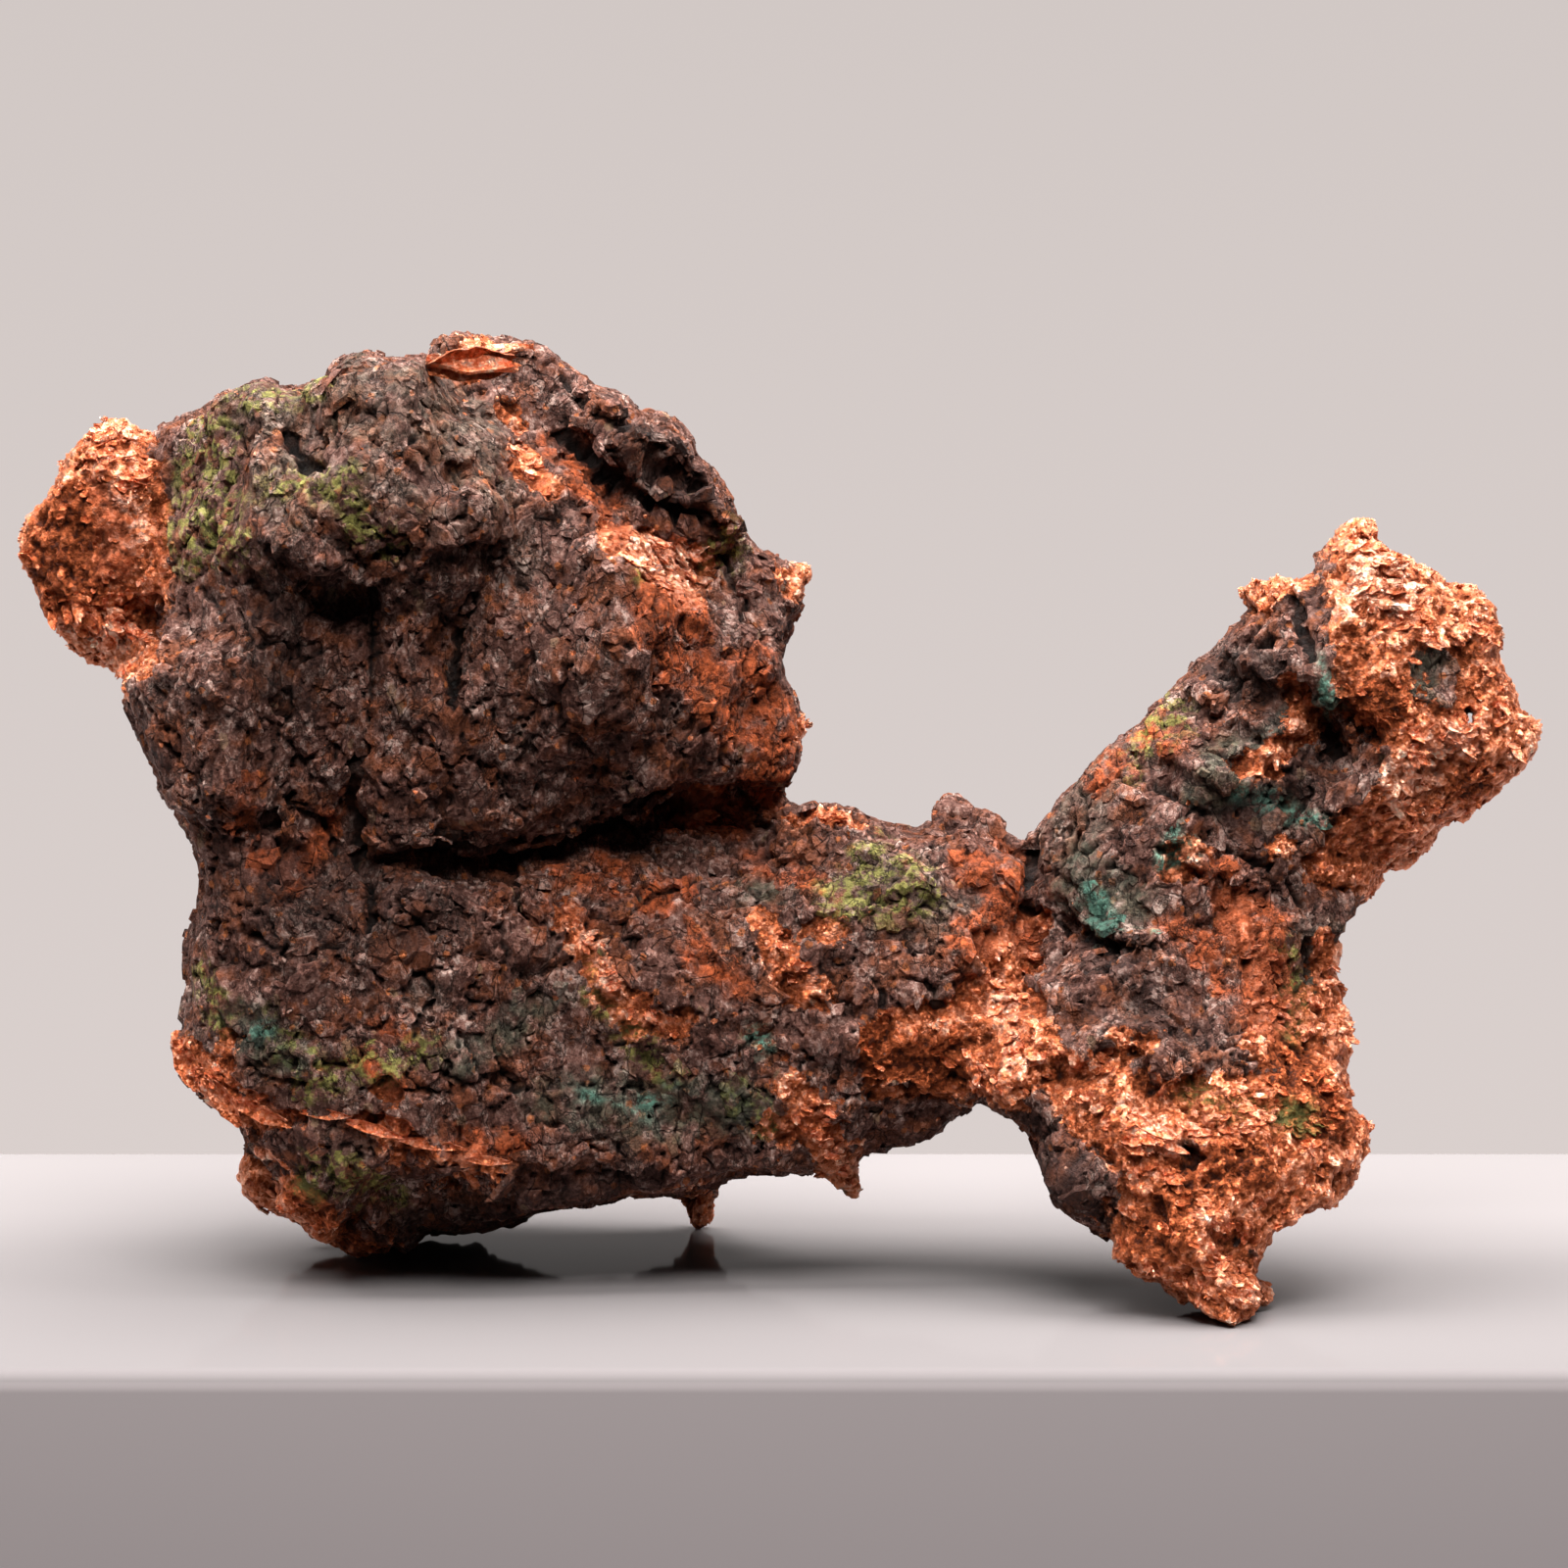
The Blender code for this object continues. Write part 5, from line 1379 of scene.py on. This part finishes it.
def grey(tree, value):
    return add_node(tree, "CombineColor", {0: value, 1: value, 2: value}).outputs[0]


CRUST_TONES = [(0.22, (0.024, 0.006, 0.003)), (0.42, (0.125, 0.050, 0.037)), (0.58, (0.290, 0.145, 0.115)),
               (0.74, (0.62, 0.43, 0.37))]
# Patch, size, level and softness of its blotches, strength, tint.
STAINS = [
    ("dust", 1.4, 0.46, 0.14, 0.60, (0.155, 0.140, 0.105)),
    ("red", 1.6, 0.45, 0.08, 0.95, (0.520, 0.110, 0.034)),
    ("olive", 1.0, 0.52, 0.05, 0.85, (0.340, 0.325, 0.082)),
    ("glaze", 1.3, 0.45, 0.12, 0.70, (0.075, 0.115, 0.085)),
    ("teal", 0.8, 0.46, 0.06, 0.85, (0.150, 0.370, 0.280)),
]


def crust_colour(tree, place):
    """Colour, roughness and height of the crust."""
    leaning = add_node(tree, "Mapping", {"Vector": place, "Rotation": (0.0, 0.45, 0.0), "Scale": (1.0, 1.0, 0.62)},
                       vector_type="POINT").outputs[0]
    chips = place_group(tree, CHIPS, Vector=leaning, Size=2.8, Bend=1.0)
    grit = place_group(tree, CHIPS, Vector=leaning, Size=0.42, Bend=0.9)
    middling = place_group(tree, MOTTLE, Vector=leaning, Size=1.5)
    fine = place_group(tree, MOTTLE, Vector=place, Size=0.32)
    tone = add_up(tree, times(tree, chips["Tone"], 0.16), times(tree, grit["Tone"], 0.26),
                  times(tree, middling["Tone"], 0.28), times(tree, fine["Tone"], 0.30))
    colour = ramp(tree, tone, CRUST_TONES)
    shade = grey(tree, fit(tree, tone, 0.25, 0.8, 0.3, 1.7))

    def stain(colour, share, tint):
        return mix_colour(tree, share, colour, mix_colour(tree, 1.0, tint, shade, "MULTIPLY"))

    rust = place_group(tree, BLOTCHES, Vector=place, Size=2.6, Level=0.54, Softness=0.06)["Mask"]
    colour = stain(colour, times(tree, rust, 0.75), (0.26, 0.068, 0.022))
    speck = place_group(tree, FLECKS, Vector=place, Size=1.1, Radius=0.30, Share=0.20)["Mask"]
    colour = stain(colour, times(tree, speck, 0.8), (0.48, 0.140, 0.045))
    sand = place_group(tree, FLECKS, Vector=leaning, Size=2.1, Radius=0.2, Share=0.25)["Mask"]
    colour = mix_colour(tree, times(tree, sand, 0.55), colour, (0.40, 0.25, 0.15))
    for patch, size, level, softness, strength, tint in STAINS:
        blotch = place_group(tree, BLOTCHES, Vector=place, Size=size, Level=level, Softness=softness)["Mask"]
        share = times(tree, kept(tree, patch), blotch)
        if patch == "dust":
            share = times(tree, share, fit(tree, kept(tree, "upward"), -0.5, 0.6))
        colour = stain(colour, times(tree, share, strength), tint)
    open_seam = times(tree, fit(tree, chips["Seam"], 0.0, 0.03, 1.0, 0.0), fit(tree, middling["Tone"], 0.35, 0.5))
    gap = calc(tree, "MAXIMUM", times(tree, middling["Crease"], fit(tree, chips["Tone"], 0.45, 0.6)), open_seam)
    # Painted shade where the near-black patch runs along the lower rims; elsewhere it is the crust's own dark colour.
    colour = mix_colour(tree, times(tree, kept(tree, "dark"), 0.55), colour, (0.010, 0.006, 0.006))
    gap = calc(tree, "MAXIMUM", gap, kept(tree, "crack"))
    colour = mix_colour(tree, times(tree, gap, 0.85), colour, (0.004, 0.002, 0.0015))
    height = add_up(tree, times(tree, chips["Face"], 0.30), times(tree, grit["Face"], 0.55),
                    times(tree, middling["Ledges"], 1.1), times(tree, fine["Ledges"], 0.40), times(tree, gap, -0.16))
    rough = fit(tree, grit["Tone"], 0.0, 1.0, 0.45, 0.75)
    return colour, rough, height


# %% Copper colour
COPPER_TONES = [(0.12, (0.075, 0.013, 0.003)), (0.30, (0.26, 0.056, 0.016)), (0.50, (0.55, 0.152, 0.060)),
                (0.68, (0.78, 0.32, 0.185)), (0.90, (0.94, 0.60, 0.47))]


def copper_colour(tree, place):
    """Colour, roughness, height and how metallic the bare copper is."""
    flakes = place_group(tree, CHIPS, Vector=place, Size=0.62, Bend=0.6)
    scales = place_group(tree, CHIPS, Vector=place, Size=0.29, Bend=0.5)
    middling = place_group(tree, MOTTLE, Vector=place, Size=1.3)
    worn = fit(tree, kept(tree, "relief"), -0.35, 0.3, 0.0, 0.28)
    worn = add_up(tree, worn, times(tree, flakes["Tone"], 0.24), times(tree, scales["Tone"], 0.26),
                  times(tree, middling["Tone"], 0.20), fit(tree, kept(tree, "hollow"), -1.2, 0.8, -0.15, 0.10),
                  times(tree, kept(tree, "dull"), -0.22), times(tree, kept(tree, "shine"), 0.14))
    worn = calc(tree, "MAXIMUM", worn, 0.0)
    colour = ramp(tree, worn, COPPER_TONES)
    red = times(tree, kept(tree, "red"), 0.7)
    colour = mix_colour(tree, red, colour, (0.36, 0.075, 0.026))
    in_pits = fit(tree, worn, 0.6, 0.25, 0.0, 0.8)
    colour = mix_colour(tree, times(tree, kept(tree, "olive"), in_pits), colour, (0.15, 0.15, 0.045))
    colour = mix_colour(tree, times(tree, kept(tree, "teal"), in_pits), colour, (0.085, 0.20, 0.14))
    metal = fit(tree, worn, 0.12, 0.45, 0.15, 0.9)
    metal = calc(tree, "SUBTRACT", metal, times(tree, red, 0.9), True)
    rough = fit(tree, worn, 0.1, 0.9, 0.6, 0.33)
    height = add_up(tree, times(tree, flakes["Face"], 0.85), times(tree, scales["Face"], 1.1),
                    times(tree, middling["Ledges"], 0.9), times(tree, middling["Crease"], -0.05))
    return colour, rough, height, metal


# %% The skin's material
def build_skin_material():
    material, tree, shader, place = new_material("crust_and_copper")
    crust, crust_rough, crust_height = crust_colour(tree, place)
    copper, copper_rough, copper_height, metal = copper_colour(tree, place)
    fray = add_node(tree, "TexNoise", {"Vector": place, "Scale": 1.2, "Detail": 4.0, "Roughness": 0.7}).outputs["Fac"]
    depth = calc(tree, "ADD", kept(tree, "bare"), fit(tree, fray, 0.2, 0.8, -0.8, 0.8))
    mask = fit(tree, depth, -0.08, 0.08)
    glint = place_group(tree, FLECKS, Vector=place, Size=1.8, Radius=0.13, Share=0.12)["Mask"]
    mask = calc(tree, "MAXIMUM", mask, glint)
    colour = mix_colour(tree, mask, crust, copper)
    # Painted shade and painted highlight: the colour is multiplied by a grey that goes near black in the hollows and
    # past white on what stands out, on crust and copper alike.
    painted_shade_and_highlight = times(tree, fit(tree, kept(tree, "relief"), -0.35, 0.22, 0.22, 1.25),
                   fit(tree, kept(tree, "hollow"), -1.8, 0.4, 0.40, 1.1))
    colour = mix_colour(tree, 1.0, colour, grey(tree, painted_shade_and_highlight), "MULTIPLY")
    tree.links.new(colour, shader.inputs["Base Color"])
    tree.links.new(calc(tree, "MULTIPLY", mask, metal), shader.inputs["Metallic"])
    tree.links.new(mix_value(tree, mask, crust_rough, copper_rough), shader.inputs["Roughness"])
    height = mix_value(tree, mask, crust_height, copper_height)
    bump = add_node(tree, "Bump", {"Height": height, "Strength": 1.0, "Distance": MM})
    tree.links.new(bump.outputs[0], shader.inputs["Normal"])
    shader.inputs["Specular IOR Level"].default_value = 0.16
    return material


SKIN = build_skin_material()
for piece in parts + loose:
    piece.data.materials.append(SKIN)

# %% [markdown]
# ## The shelf and the light
# The nugget stands on a pale, slightly glossy shelf with a rounded, matte front edge. The light is a wide soft panel
# overhead and a smaller one in front, in a pale room, so the undersides go dark and the copper's knobs catch a
# highlight on their tops.

# %% Shelf
SHELF = {"front": -43.8, "back": 65.0, "half_width": 600.0, "thick": 60.0, "round": 1.6}
bpy.ops.object.select_all(action="DESELECT")
bpy.ops.mesh.primitive_cube_add(size=1.0)
shelf = bpy.context.object
shelf.name = "shelf"
shelf.scale = (2 * SHELF["half_width"] * MM, (SHELF["back"] - SHELF["front"]) * MM, SHELF["thick"] * MM)
shelf.location = (0, ((SHELF["front"] + SHELF["back"]) / 2 + DRAWN_ORIGIN[1]) * MM, -SHELF["thick"] / 2 * MM)
bpy.ops.object.transform_apply(location=True, rotation=True, scale=True)
rounding = shelf.modifiers.new("rounding", "BEVEL")
rounding.width = SHELF["round"] * MM
rounding.segments = 6
apply_modifiers(shelf)
bpy.ops.object.shade_smooth_by_angle(angle=math.radians(40))


def shelf_finish(name, start, end, tones, roughness, gloss):
    """A pale finish whose tone changes from start to end, which are depths (Y) in millimetres."""
    material, tree, shader, place = new_material(name)
    depth = add_node(tree, "SeparateXYZ", {0: place}).outputs[1]
    tree.links.new(ramp(tree, fit(tree, depth, start, end), tones), shader.inputs["Base Color"])
    shader.inputs["Roughness"].default_value = roughness
    shader.inputs["Specular IOR Level"].default_value = gloss
    return material


# Painted light: the top is paler toward the back, where it gets less light from the lamps, and the front face is
# painted about twice as pale as the top to make up for the little light that reaches it.
SHELF_TOP_PAINTED_LIGHT_TONES = [(0.0, (0.195, 0.182, 0.186)), (1.0, (0.300, 0.280, 0.286))]
SHELF_FRONT_PAINTED_LIGHT_TONES = [(0.0, (0.383, 0.343, 0.354)), (0.15, (0.21, 0.192, 0.197)), (1.0, (0.190, 0.176, 0.180))]
front_edge = SHELF["front"] + DRAWN_ORIGIN[1]
for finish in (shelf_finish("pale_shelf_front", front_edge, front_edge + SHELF["round"], SHELF_FRONT_PAINTED_LIGHT_TONES, 1.0, 0.0),
               shelf_finish("pale_shelf_top", SHELF["front"], SHELF["back"], SHELF_TOP_PAINTED_LIGHT_TONES, 0.08, 0.008)):
    shelf.data.materials.append(finish)
for face in shelf.data.polygons:
    face.material_index = 1 if face.normal.z > 0.999 else 0

# %% Light
LAMP_COLOUR = (1.0, 0.97, 0.94)


def panel(name, place, target, size, power):
    """A soft lamp at this place that shines at the target, both in metres."""
    bpy.ops.object.light_add(type="AREA", location=place)
    lamp = bpy.context.object
    lamp.name = name
    lamp.data.shape = "RECTANGLE"
    lamp.data.size, lamp.data.size_y = size
    lamp.data.energy = power
    lamp.data.color = LAMP_COLOUR
    lamp.rotation_euler = (Vector(target) - Vector(place)).to_track_quat("-Z", "Y").to_euler()


panel("overhead_panel", (-0.08, 0.05, 0.60), (-0.08, 0.05, 0), (1.1, 0.5), 18.5)
panel("front_panel", (0.03, -0.42, 0.56), (0, 0, 0.04), (0.4, 0.3), 5.6)

# %% [markdown]
# The room is a world colour. What the camera sees directly is a plain pale backdrop. What lights the nugget and
# shows in its reflections is darker in front and paler behind, as in a room with one pale wall.

# %% Room
world = bpy.data.worlds.new("pale_room")
bpy.context.scene.world = world
world.use_nodes = True
room = world.node_tree
direction = add_node(room, "TexCoord").outputs["Generated"]
axes = add_node(room, "SeparateXYZ", {0: direction}).outputs
backdrop = ramp(room, fit(room, axes[2], -0.15, 0.10), [(0.0, (0.700, 0.630, 0.610)), (1.0, (0.635, 0.575, 0.555))])
behind = fit(room, axes[1], -0.3, 0.8)
above = fit(room, axes[2], 0.0, 0.9)
lit = ramp(room, behind, [(0.0, (0.10, 0.095, 0.092)), (1.0, (0.62, 0.575, 0.56))])
lit = mix_colour(room, above, lit, (0.30, 0.29, 0.28))
path = add_node(room, "LightPath").outputs
lit = mix_colour(room, path["Is Diffuse Ray"], lit, mix_colour(room, 1.0, lit, (0.05, 0.05, 0.05), "MULTIPLY"))
background = room.nodes["Background"]
room.links.new(mix_colour(room, path["Is Camera Ray"], lit, backdrop), background.inputs["Color"])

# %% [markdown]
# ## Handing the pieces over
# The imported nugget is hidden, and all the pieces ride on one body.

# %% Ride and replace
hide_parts("nugget")
for piece in parts + loose:
    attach(piece, "root")
